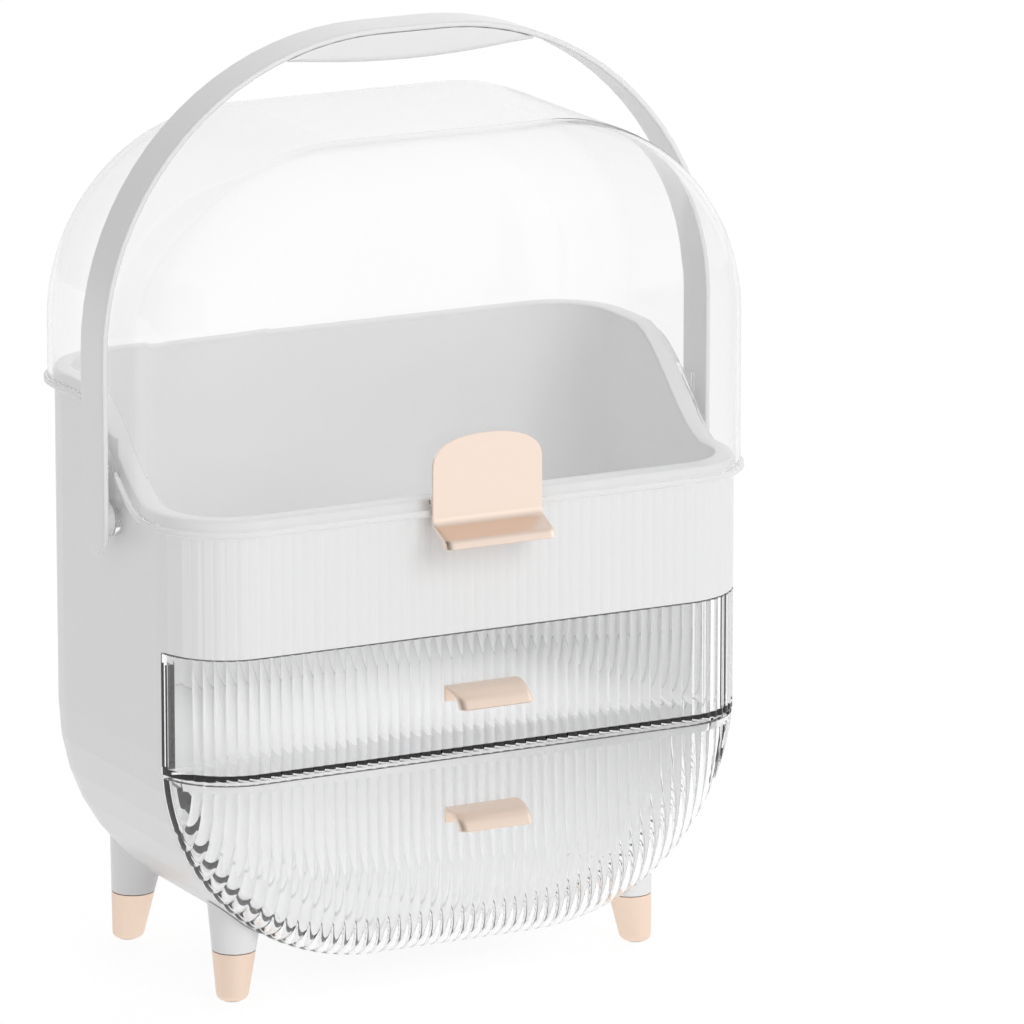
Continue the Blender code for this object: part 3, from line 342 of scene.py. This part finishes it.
def box(low, high, shape):
    corners = [(low[0], low[1]), (high[0], low[1]), (high[0], high[1]), (low[0], high[1])]
    return loft([[(x, y, z) for x, y in corners] for z in (low[2], high[2])], shape)


def circle(u, v, radius, steps):
    angles = [2 * math.pi * i / steps for i in range(steps)]
    return [(u + radius * math.cos(a), v + radius * math.sin(a)) for a in angles]


def link_object(name, data):
    obj = bpy.data.objects.new(name, data)
    bpy.context.scene.collection.objects.link(obj)
    return obj


def add_mesh_object(name, shape):
    """An object from a shape drawn in the case's frame, moved into the model's frame."""
    bmesh.ops.translate(shape, verts=shape.verts, vec=(0, frame_shift_y, 0))
    bmesh.ops.remove_doubles(shape, verts=shape.verts, dist=merge_distance)
    bmesh.ops.recalc_face_normals(shape, faces=shape.faces)
    if shape.calc_volume(signed=True) < 0:
        bmesh.ops.reverse_faces(shape, faces=shape.faces)
    mesh = bpy.data.meshes.new(name)
    shape.to_mesh(mesh)
    shape.free()
    return link_object(name, mesh)


def apply_booleans(piece, operations):
    """Joins or cuts the piece with each (operation, name, shape) in turn."""
    cutters = []
    for operation, name, shape in operations:
        cutters.append(add_mesh_object(name, shape))
        modifier = piece.modifiers.new(operation.lower(), "BOOLEAN")
        modifier.operation = operation
        modifier.solver = "EXACT"
        modifier.object = cutters[-1]
    graph = bpy.context.evaluated_depsgraph_get()
    mesh = bpy.data.meshes.new_from_object(piece.evaluated_get(graph))
    piece.modifiers.clear()
    piece.data = mesh
    for cutter in cutters:
        bpy.data.objects.remove(cutter, do_unlink=True)


def round_edges(piece, width, limit):
    """Rounds the edges that are sharper than the limit, in degrees."""
    bevel = piece.modifiers.new("edge_round", "BEVEL")
    bevel.width = width
    bevel.segments = 2
    bevel.limit_method = "ANGLE"
    bevel.angle_limit = math.radians(limit)


def stand_in(piece, node):
    """Puts a piece in its node's place."""
    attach(piece, body_of[node])
    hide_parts(node)


def finish_clear_piece(piece, node, material, operations):
    apply_booleans(piece, operations)
    mesh = piece.data
    mesh.shade_smooth()
    mesh.set_sharp_from_angle(angle=math.radians(40))
    weighted = piece.modifiers.new("weighted_normal", "WEIGHTED_NORMAL")
    weighted.keep_sharp = True
    weighted.weight = 100
    mesh.materials.clear()
    mesh.materials.append(material)
    stand_in(piece, node)


# Clear lid

def rim_height(y):
    share = min(max((y - rim_middle) / rim_length + 0.5, 0), 1)
    return rim_front + rim_rise * share ** 2 * (3 - 2 * share)


def lid_foot(y):
    return rim_height(y) - rim_band


def lid_columns(inset):
    """Places from front to rear as (y, inset of the outline there, plan normal)."""
    radius = edge_radius + lid_offset - inset
    columns = []
    for i in range(edge_steps + 1):
        angle = math.pi / 2 * i / edge_steps
        y = corner_y + radius * math.cos(angle)
        columns.append((y, inset + radius * (1 - math.sin(angle)), (math.sin(angle), math.cos(angle))))
    front = [(-y, moved, (nx, -ny)) for y, moved, (nx, ny) in columns]
    sides = [(corner_y * (2 * i / side_steps - 1), inset, (1, 0)) for i in range(1, side_steps)]
    return front + sides + columns[::-1]


def quarter_arcs(first=0):
    """Each side of an arch in turn, as (side, angle): up to a right angle and down again."""
    arcs = []
    for side in (-1, 1):
        for i in range(arch_steps + 1):
            share = i / arch_steps if side < 0 else 1 - i / arch_steps
            arcs.append((side, first + (math.pi / 2 - first) * share))
    return arcs


def lid_arch(y, moved):
    radius = lid_radius - moved
    wide = half_width + lid_offset - lid_radius
    points = []
    for side, angle in quarter_arcs():
        x = side * (wide + radius * math.cos(angle))
        points.append((x, y, lid_top - lid_radius + radius * math.sin(angle)))
    return points


def lid_outer_column(y, moved, normal):
    """Flange, wall and arch, with a small round at the flange's edges."""
    low = lid_foot(y)
    wall_x = half_width + lid_offset - moved
    profile = [
        (flange_reach - flange_round, low),
        (flange_reach, low + flange_round),
        (flange_reach, low + flange_height - flange_round),
        (flange_reach - flange_round, low + flange_height),
        (flange_round, low + flange_height),
        (0, low + flange_height + flange_round),
    ]
    foot = [(wall_x + out * normal[0], y + out * normal[1], z) for out, z in profile]
    return [(-x, along, z) for x, along, z in foot] + lid_arch(y, moved) + foot[::-1]


def lid_inner_column(y, moved, _):
    wall_x = half_width + lid_offset - moved
    low = lid_foot(y)
    return [(-wall_x, y, low)] + lid_arch(y, moved) + [(wall_x, y, low)]


def lid_shape():
    shape = bmesh.new()
    outer = add_grid(shape, [lid_outer_column(*place) for place in lid_columns(0)])
    inner = add_grid(shape, [lid_inner_column(*place) for place in lid_columns(lid_wall)])
    for outside, next_outside, inside, next_inside in zip(outer, outer[1:], inner, inner[1:]):
        for end in (0, -1):
            shape.faces.new((outside[end], next_outside[end], next_inside[end], inside[end]))
    flange_faces = 5
    for end in (0, -1):
        outside, inside = outer[end], inner[end]
        shape.faces.new((outside[0], outside[-1], inside[-1], inside[0]))
        for i in range(flange_faces):
            shape.faces.new((outside[i], outside[i + 1], outside[-i - 2], outside[-i - 1]))
        shape.faces.new(outside[flange_faces:-flange_faces])
        shape.faces.new(inside)
    return shape


def ear_shape():
    """A tongue down each side that is round about the pivot."""
    shape = bmesh.new()
    top = lid_foot(pivot_y) + ear_overlap
    arc = [math.pi * i / ear_steps for i in range(ear_steps + 1)]
    outline = [(pivot_y - ear_radius * math.cos(a), pivot_z - ear_radius * math.sin(a)) for a in arc]
    outline += [(pivot_y + ear_radius, top), (pivot_y - ear_radius, top)]
    for side in (-1, 1):
        loft([[(side * x, y, z) for y, z in outline] for x in (ear_inner_x, ear_outer_x)], shape)
    return shape


def ear_holes():
    shape = bmesh.new()
    outline = circle(pivot_y, pivot_z, ear_bore, bore_steps)
    for side in (-1, 1):
        loft([[(side * x, y, z) for y, z in outline] for x in ear_hole_span], shape)
    return shape


def make_lid():
    """The dome with its ears, and a frosted material on its flange."""
    lid = add_mesh_object("clear_dome", lid_shape())
    operations = [("UNION", "ears", ear_shape()), ("DIFFERENCE", "ear_holes", ear_holes())]
    finish_clear_piece(lid, "lid_dome", lid_clear, operations)
    lid.data.materials.append(lid_frosted)
    ear_spare, flange_spare = 0.001, 0.0002
    for face in lid.data.polygons:
        x, y, z = face.center
        y -= frame_shift_y
        on_ear = abs(x) > ear_inner_x and abs(y - pivot_y) < ear_radius + ear_spare
        if z < lid_foot(y) + flange_height + flange_spare and not on_ear:
            face.material_index = 1


# Clear drawers

def flute_stations():
    """Places along the front as (arc length, share of the depth): round ribs, sharp grooves."""
    half_length = corner_x + edge_radius * fluted_corner
    count = round(2 * half_length / flute_pitch)
    step = 2 * half_length / (count * flute_parts)
    stations = []
    for i in range(count * flute_parts + 1):
        across = (i % flute_parts / flute_parts - 0.5) * flute_pitch
        depth = rib_radius - math.sqrt(rib_radius ** 2 - across ** 2)
        stations.append((i * step - half_length, depth / flute_depth))
    return stations


def front_point(length, inset):
    """The front's plan at an arc length from its middle, moved in by the inset."""
    if abs(length) <= corner_x:
        return (length, inset - half_depth)
    angle = (abs(length) - corner_x) / edge_radius
    radius = edge_radius - inset
    x = math.copysign(corner_x + radius * math.sin(angle), length)
    return (x, -(corner_y + radius * math.cos(angle)))


def seam_angle():
    return math.acos((-seam_y - corner_y) / edge_radius)


def rear_plan(inset, front_y):
    radius = edge_radius - inset
    outline = [(half_width - inset, front_y)]
    for centre_x, start in ((corner_x, 0), (-corner_x, math.pi / 2)):
        for i in range(edge_steps + 1):
            angle = start + math.pi / 2 * i / edge_steps
            outline.append((centre_x + radius * math.cos(angle), corner_y + radius * math.sin(angle)))
    outline.append((inset - half_width, front_y))
    return outline


def fluted_plan():
    flutes = flute_stations()
    end = corner_x + edge_radius * seam_angle()
    start = flutes[-1][0]
    strip = [start + (end - start) * (i + 1) / plain_steps for i in range(plain_steps)]
    left = [front_point(-length, 0) for length in strip[::-1]]
    middle = [front_point(length, flute_depth * share) for length, share in flutes]
    return left + middle + [front_point(length, 0) for length in strip]


def front_hollow_plan():
    """The inside of the upper front, cut square a wall's thickness before the seam."""
    turn = edge_radius * seam_angle()
    corner = [corner_x + turn * i / hollow_steps for i in range(hollow_steps + 1)]
    lengths = [-length for length in corner[::-1]] + corner
    back = seam_y - front_wall
    plan = [front_point(length, front_wall) for length in lengths]
    plan = [(x, y) for x, y in plan if y < back]
    return [(-plan[-1][0], back)] + plan + [(plan[-1][0], back)]


def screw_holes(top):
    """The two holes behind a pull whose top edge is at this height."""
    shape = bmesh.new()
    depths = (-half_depth - cutter_spare, front_wall - half_depth + cutter_spare)
    for side in (-1, 1):
        outline = circle(side * screw_x, top - screw_drop, screw_bore, screw_steps)
        loft([[(x, y, z) for x, z in outline] for y in depths], shape)
    return shape


def make_upper_drawer():
    box_low = shelf_top + glide_gap
    open_top = apron_underside + cutter_spare
    front = prism(fluted_plan(), upper_front_low, upper_front_high)
    back = prism(rear_plan(upper_box_inset, seam_y - front_wall / 2), box_low, upper_box_top)
    behind = rear_plan(upper_box_inset + box_wall, seam_y - 2 * front_wall)
    drawer = add_mesh_object("clear_upper_drawer", front)
    operations = [
        ("UNION", "upper_box", back),
        ("DIFFERENCE", "upper_front", prism(front_hollow_plan(), box_low + box_wall, open_top)),
        ("DIFFERENCE", "upper_inside", prism(behind, box_low + box_wall, open_top)),
        ("DIFFERENCE", "upper_holes", screw_holes(pull_tops["upper_drawer_pull"])),
    ]
    finish_clear_piece(drawer, "upper_drawer", looks["clear_plastic"], operations)


def case_outline(inset, top):
    """The case seen from the front, moved in by the inset and cut level at the top."""
    radius = bottom_radius - inset
    first = math.asin(max(arc_z - top, 0) / radius)
    top_x = arc_x + radius * math.cos(first)
    points = [(-top_x, top)]
    for side, angle in quarter_arcs(first):
        points.append((side * (arc_x + radius * math.cos(angle)), arc_z - radius * math.sin(angle)))
    points.append((top_x, top))
    return points


def edge_rings(inset, top, side):
    radius = edge_radius - inset
    rings = []
    for i in range(edge_steps + 1):
        angle = math.pi / 2 * i / edge_steps
        y = side * (corner_y + radius * math.cos(angle))
        moved = inset + radius * (1 - math.sin(angle))
        rings.append([(x, y, z) for x, z in case_outline(moved, top)])
    return rings


def rear_form(inset, top, front_y):
    first = [(x, front_y, z) for x, z in case_outline(inset, top)]
    return loft([first] + edge_rings(inset, top, 1)[::-1])


def edge_angle(x, z):
    """How far round the front's edge a place lies: nothing on the flat face, a quarter at the side."""
    if abs(x) <= arc_x:
        inside = z - underside
    else:
        inside = bottom_radius - math.hypot(abs(x) - arc_x, arc_z - z)
    return math.asin(min(max(1 - inside / edge_radius, 0), 1))


def lower_front_point(x, angle, depth):
    """A point on the rounded edge of the lower front, sunk in by the depth."""
    inset = edge_radius * (1 - math.sin(angle))
    radius = bottom_radius - inset
    past = max(abs(x) - arc_x, 0)
    down = math.sqrt(max(radius ** 2 - past ** 2, 0))
    place = Vector((x, -(corner_y + edge_radius * math.cos(angle)), arc_z - down))
    outward = Vector((math.copysign(past, x), 0, -down)) / radius
    return place - (outward * math.sin(angle) + Vector((0, -math.cos(angle), 0))) * depth


def face_point(x, z, depth):
    angle = edge_angle(x, z)
    if angle == 0:
        return Vector((x, depth - half_depth, z))
    return lower_front_point(x, angle, depth)


def lower_front_column(x, share):
    """One upright line of the lower front, from its rim down, under and back to the seam."""
    band = lower_front_high - plain_band
    lowest = lower_front_point(x, seam_angle(), 0).z
    start_z = max(band - band_step, lowest)
    column = [face_point(x, max(z, lowest), 0) for z in (lower_front_high, band)]
    column.append(face_point(x, start_z, flute_depth * share))
    start = edge_angle(x, start_z)
    for i in range(front_rows + 1):
        part = i / front_rows if start == 0 else (i + 1) / (front_rows + 1)
        point = lower_front_point(x, start + (seam_angle() - start) * part, flute_depth * share)
        if i == front_rows:
            point.y = seam_y
        column.append(point)
    return column


def lower_front_shape():
    seam_radius = bottom_radius - edge_radius * (1 - math.sin(seam_angle()))
    end_x = arc_x + math.sqrt(seam_radius ** 2 - (arc_z - lower_front_high) ** 2)
    flutes = [(front_point(length, 0)[0], share) for length, share in flute_stations()]
    first = math.asin((flutes[-1][0] - corner_x) / edge_radius)
    last = math.asin((end_x - corner_x) / edge_radius)
    angles = [first + (last - first) * (i + 1) / plain_steps for i in range(plain_steps)]
    strip = [corner_x + edge_radius * math.sin(angle) for angle in angles]
    stations = [(-x, 0) for x in strip[::-1]] + flutes + [(x, 0) for x in strip]
    shape = bmesh.new()
    columns = add_grid(shape, [lower_front_column(x, share) for x, share in stations])
    shape.faces.new([column[0] for column in columns])
    shape.faces.new([column[-1] for column in columns])
    shape.faces.new(columns[0] + columns[-1][::-1])
    return shape


def make_lower_drawer():
    open_top = split_height + cutter_spare
    hollow_y = seam_y - front_wall
    hollow = [ring for ring in edge_rings(front_wall, open_top, -1) if ring[0][1] < hollow_y]
    hollow.append([(x, hollow_y, z) for x, _, z in hollow[-1]])
    inside = rear_form(lower_box_inset + box_wall, open_top, seam_y - 2 * front_wall)
    drawer = add_mesh_object("clear_lower_drawer", lower_front_shape())
    operations = [
        ("UNION", "lower_box", rear_form(lower_box_inset, lower_box_top, seam_y - front_wall / 2)),
        ("DIFFERENCE", "lower_front", loft(hollow)),
        ("DIFFERENCE", "lower_inside", inside),
        ("DIFFERENCE", "lower_holes", screw_holes(pull_tops["lower_drawer_pull"])),
    ]
    finish_clear_piece(drawer, "lower_drawer", looks["clear_plastic"], operations)


# Bent metal pieces

def rounded_path(corners, cuts):
    """A path through corners that are rounded off, each over its own cut along both sides."""
    path = [corners[0]]
    for before, corner, after, cut in zip(corners, corners[1:], corners[2:], cuts):
        here = Vector(corner)
        start = here + (Vector(before) - here).normalized() * cut
        end = here + (Vector(after) - here).normalized() * cut
        for i in range(round_steps + 1):
            t = i / round_steps
            path.append(tuple(start * (1 - t) ** 2 + here * 2 * t * (1 - t) + end * t ** 2))
    return path + [corners[-1]]


def sheet_outline(path, thickness):
    """A bent sheet's outline: the path, and the same path moved to its right by the thickness."""
    moved = []
    for i, (u, v) in enumerate(path):
        ways = []
        if i > 0:
            ways.append((Vector((u, v)) - Vector(path[i - 1])).normalized())
        if i < len(path) - 1:
            ways.append((Vector(path[i + 1]) - Vector((u, v))).normalized())
        middle = sum(ways, Vector((0, 0))).normalized()
        moved.append((u + middle.y * thickness, v - middle.x * thickness))
    return list(path) + moved[::-1]


def lip_share(x, half, corner, reach):
    """The share of its reach that a lip with rounded corners has at a place across its width."""
    past = max(abs(x) - (half - corner), 0)
    return (reach - corner + math.sqrt(max(corner ** 2 - past ** 2, 0))) / reach


def lip_stations(half, corner):
    angles = [math.pi / 2 * i / round_steps for i in range(round_steps + 1)]
    rounded = [half - corner * (1 - math.sin(a)) for a in angles]
    return [-x for x in rounded[::-1]] + rounded


def finish_metal_piece(piece, node, material):
    piece.data.materials.append(material)
    round_edges(piece, 0.00025, 50)
    piece.data.shade_smooth()
    piece.modifiers.new("weighted_normal", "WEIGHTED_NORMAL")
    stand_in(piece, node)


def make_pull(node, top):
    """A bent sheet: a plate on the face, a short ledge, a slope and a lip that turns down."""
    face_y = -half_depth - pull_gap
    bent = rounded_path(pull_bends, pull_cuts)
    rings = []
    for x in lip_stations(pull_half, pull_corner):
        share = lip_share(x, pull_half, pull_corner, pull_reach - pull_ledge)
        path = [(out if out < pull_ledge else pull_ledge + (out - pull_ledge) * share, z) for out, z in bent]
        rings.append([(x, face_y - out, top + z) for out, z in sheet_outline(path, pull_sheet)])
    finish_metal_piece(add_mesh_object("bent_" + node, loft(rings)), node, pull_gold_painted_lighter)


def latch_arch(x):
    share = min(abs(x) / latch_half, 1)
    rise = (1 - share ** latch_arch_power) ** (1 / latch_arch_power)
    return latch_shoulder + (latch_top - latch_shoulder) * rise


def turned_bar(span, radius, shape=None):
    """A round bar along x on the latch's axis."""
    outline = circle(latch_pin_y, latch_pin_z, radius, bore_steps)
    return loft([[(x, y, z) for y, z in outline] for x in span], shape)


def latch_plate():
    """The plate with its arched top and turned lip."""
    rings = []
    for i in range(latch_steps + 1):
        x = -latch_half * math.cos(math.pi * i / latch_steps)
        share = lip_share(x, latch_half, latch_corner, latch_reach)
        path = rounded_path([(0, latch_arch(x))] + latch_bends, latch_cuts)
        path = [(out * share, z) for out, z in path]
        rings.append([(x, latch_front_y - out, z) for out, z in sheet_outline(path, latch_sheet)])
    return loft(rings)


def make_latch():
    """The plate with its webs and knuckles, and the hook that closes under the keeper."""
    plate = add_mesh_object("bent_latch", latch_plate())
    webs_and_hook = bmesh.new()
    knuckles = bmesh.new()
    web = knuckle_radius * math.sqrt(0.5)
    for side in (-1, 1):
        inner, outer = sorted((side * (latch_half - web_gap), side * (latch_half - knuckle_length)))
        low = (inner, latch_front_y + web_sink, latch_pin_z - web)
        box(low, (outer, latch_pin_y, latch_pin_z + web), webs_and_hook)
        span = sorted((side * (latch_half - knuckle_length), side * latch_half))
        turned_bar(span, knuckle_radius, knuckles)
    hook_high = rim_front - rim_band - hook_drop
    low = (-hook_half, latch_front_y - hook_root, hook_high - hook_height)
    box(low, (hook_half, -half_depth - hook_tip, hook_high), webs_and_hook)
    operations = [
        ("UNION", "latch_webs", webs_and_hook),
        ("UNION", "latch_knuckles", knuckles),
        ("DIFFERENCE", "latch_bore", turned_bar((-latch_bore_reach, latch_bore_reach), latch_bore)),
    ]
    apply_booleans(plate, operations)
    finish_metal_piece(plate, "latch", looks["rose_gold"])


# Softened copies of the CAD's own pieces

def soften(node, width):
    """A copy of a node, shaded smooth, with its sharp edges rounded if a width is given."""
    shape = bmesh.new()
    shape.from_mesh(frame["nodes"][node].data)
    bmesh.ops.remove_doubles(shape, verts=shape.verts, dist=merge_distance)
    if width:
        flat = math.radians(0.2)
        bmesh.ops.dissolve_limit(shape, angle_limit=flat, verts=shape.verts, edges=shape.edges)
    mesh = bpy.data.meshes.new("soft_" + node)
    shape.to_mesh(mesh)
    shape.free()
    mesh.materials.append(looks[slot_of[node]])
    mesh.shade_smooth()
    piece = link_object("soft_" + node, mesh)
    if width:
        round_edges(piece, width, 40)
    else:
        mesh.set_sharp_from_angle(angle=math.radians(35))
    weighted = piece.modifiers.new("weighted_normal", "WEIGHTED_NORMAL")
    weighted.keep_sharp = True
    weighted.mode = "FACE_AREA_WITH_ANGLE"
    stand_in(piece, node)


make_lid()
make_upper_drawer()
make_lower_drawer()
for node, top in pull_tops.items():
    make_pull(node, top)
make_latch()
softened = {"upper_tray": 0, "middle_shelf": 0.0004, "handle_band": 0, "handle_grip": 0}
for place in ("front_left", "front_right", "rear_left", "rear_right"):
    softened["leg_" + place] = 0.0003
    softened["leg_tip_" + place] = 0.0004
    softened["foot_pad_" + place] = 0.0002
for node, width in softened.items():
    soften(node, width)


# Stage, lights and camera

def add_math(nodes, links, operation, first, second):
    """One operation on an output and a number, or on two outputs."""
    step = nodes.new("ShaderNodeMath")
    step.operation = operation
    links.new(first, step.inputs[0])
    if isinstance(second, (int, float)):
        step.inputs[1].default_value = second
    else:
        links.new(second, step.inputs[1])
    return step.outputs["Value"]


def looked_at_by(nodes, links, kinds):
    """One where one of these kinds of ray looks, nothing for the others."""
    rays = nodes.new("ShaderNodeLightPath")
    either = rays.outputs[kinds[0]]
    for kind in kinds[1:]:
        either = add_math(nodes, links, "MAXIMUM", either, rays.outputs[kind])
    return either


def add_floor():
    """A pale floor that is close to white where it is seen, with faint shadows."""
    size = 12
    corners = [(-size, -size, 0), (size, -size, 0), (size, size, 0), (-size, size, 0)]
    mesh = bpy.data.meshes.new("floor")
    mesh.from_pydata(corners, [], [(0, 1, 2, 3)])
    floor = link_object("floor", mesh)
    material, nodes, links, shader = new_material("pale_floor")
    tone = add_noise(nodes, links, 0.5, 1)
    tint = add_tint(nodes, links, tone, (0.93, 0.93, 0.93), (0.95, 0.95, 0.95))
    links.new(tint, shader.inputs["Base Color"])
    shader.inputs["Roughness"].default_value = 0.9
    white = nodes.new("ShaderNodeEmission")
    white.inputs["Strength"].default_value = 1.06
    white_share = 0.85
    looked_at = looked_at_by(nodes, links, ("Is Camera Ray", "Is Transmission Ray", "Is Glossy Ray"))
    share = add_math(nodes, links, "MULTIPLY", looked_at, white_share)
    surface = mix_shaders(nodes, links, share, shader.outputs["BSDF"], white.outputs["Emission"])
    links.new(surface, nodes["Material Output"].inputs["Surface"])
    floor.data.materials.append(material)


def add_area_light(name, place, aim, size, power):
    """A soft lamp that is left out of reflections, aimed along a direction."""
    light = bpy.data.lights.new(name, "AREA")
    light.shape = "RECTANGLE"
    light.size, light.size_y = size
    light.energy = power
    lamp = link_object(name, light)
    lamp.location = place
    lamp.rotation_euler = Vector(aim).to_track_quat("-Z", "Y").to_euler()
    lamp.visible_camera = False
    lamp.visible_glossy = False
    lamp.visible_transmission = False


def way_toward(turn, rise):
    """The direction turned to the right of the front and raised by these angles."""
    flat = math.cos(rise)
    return Vector((math.sin(turn) * flat, -math.cos(turn) * flat, math.sin(rise)))


def add_studio_light(name, turn, rise, power):
    """A square lamp 4 m from the middle of the object, turned and raised by these degrees."""
    middle, distance, size = Vector((0, 0, 0.2)), 4, 2.2
    toward = way_toward(math.radians(turn), math.radians(rise))
    add_area_light(name, middle + toward * distance, -toward, (size, size), power)


def add_bay_lights():
    """The soft light that bounces about in the white bays more often than the renderer follows."""
    depth = 0.13
    for name, height, width, power in (
        ("upper_bay", 0.1705, 0.25, 0.095),
        ("lower_bay", 0.1125, 0.2, 0.09),
    ):
        add_area_light(name, (0, frame_shift_y, height), (0, 0, -1), (width, depth), power)


def add_background(nodes, strength):
    background = nodes.new("ShaderNodeBackground")
    background.inputs["Color"].default_value = (1, 1, 1, 1)
    background.inputs["Strength"].default_value = strength
    return background.outputs["Background"]


def set_world():
    """A white room, brighter to the right in reflections and even as light; plain white where seen."""
    world = bpy.data.worlds.new("studio")
    bpy.context.scene.world = world
    world.use_nodes = True
    nodes, links = world.node_tree.nodes, world.node_tree.links
    place = nodes.new("ShaderNodeTexCoord")
    slope = nodes.new("ShaderNodeVectorMath")
    slope.operation = "DOT_PRODUCT"
    slope.inputs[1].default_value = (0.62, -0.1, -0.45)
    links.new(place.outputs["Generated"], slope.inputs[0])
    level = add_math(nodes, links, "ADD", slope.outputs["Value"], 0.85)
    room = nodes["Background"]
    room.inputs["Color"].default_value = (1, 1, 1, 1)
    links.new(level, room.inputs["Strength"])
    surface = room.outputs["Background"]
    for kinds, strength in ((("Is Diffuse Ray",), 0.55), (("Is Camera Ray", "Is Transmission Ray"), 1)):
        other = add_background(nodes, strength)
        surface = mix_shaders(nodes, links, looked_at_by(nodes, links, kinds), surface, other)
    links.new(surface, nodes["World Output"].inputs["Surface"])


def add_camera():
    turn, drop = math.radians(27.369), math.radians(13.828)
    camera = bpy.data.cameras.new("camera")
    camera.lens = 316.4
    camera.sensor_width = 36
    holder = link_object("camera", camera)
    holder.location = (-1.799, -3.5833, 1.197)
    forward = Vector((math.sin(turn) * math.cos(drop), math.cos(turn) * math.cos(drop), -math.sin(drop)))
    holder.rotation_euler = forward.to_track_quat("-Z", "Y").to_euler()
    bpy.context.scene.camera = holder


add_floor()
add_studio_light("soft_front", 12, 28, 40)
add_studio_light("soft_rear", 150, 40, 30)
add_bay_lights()
set_world()
add_camera()
bpy.context.scene.view_settings.view_transform = "Standard"
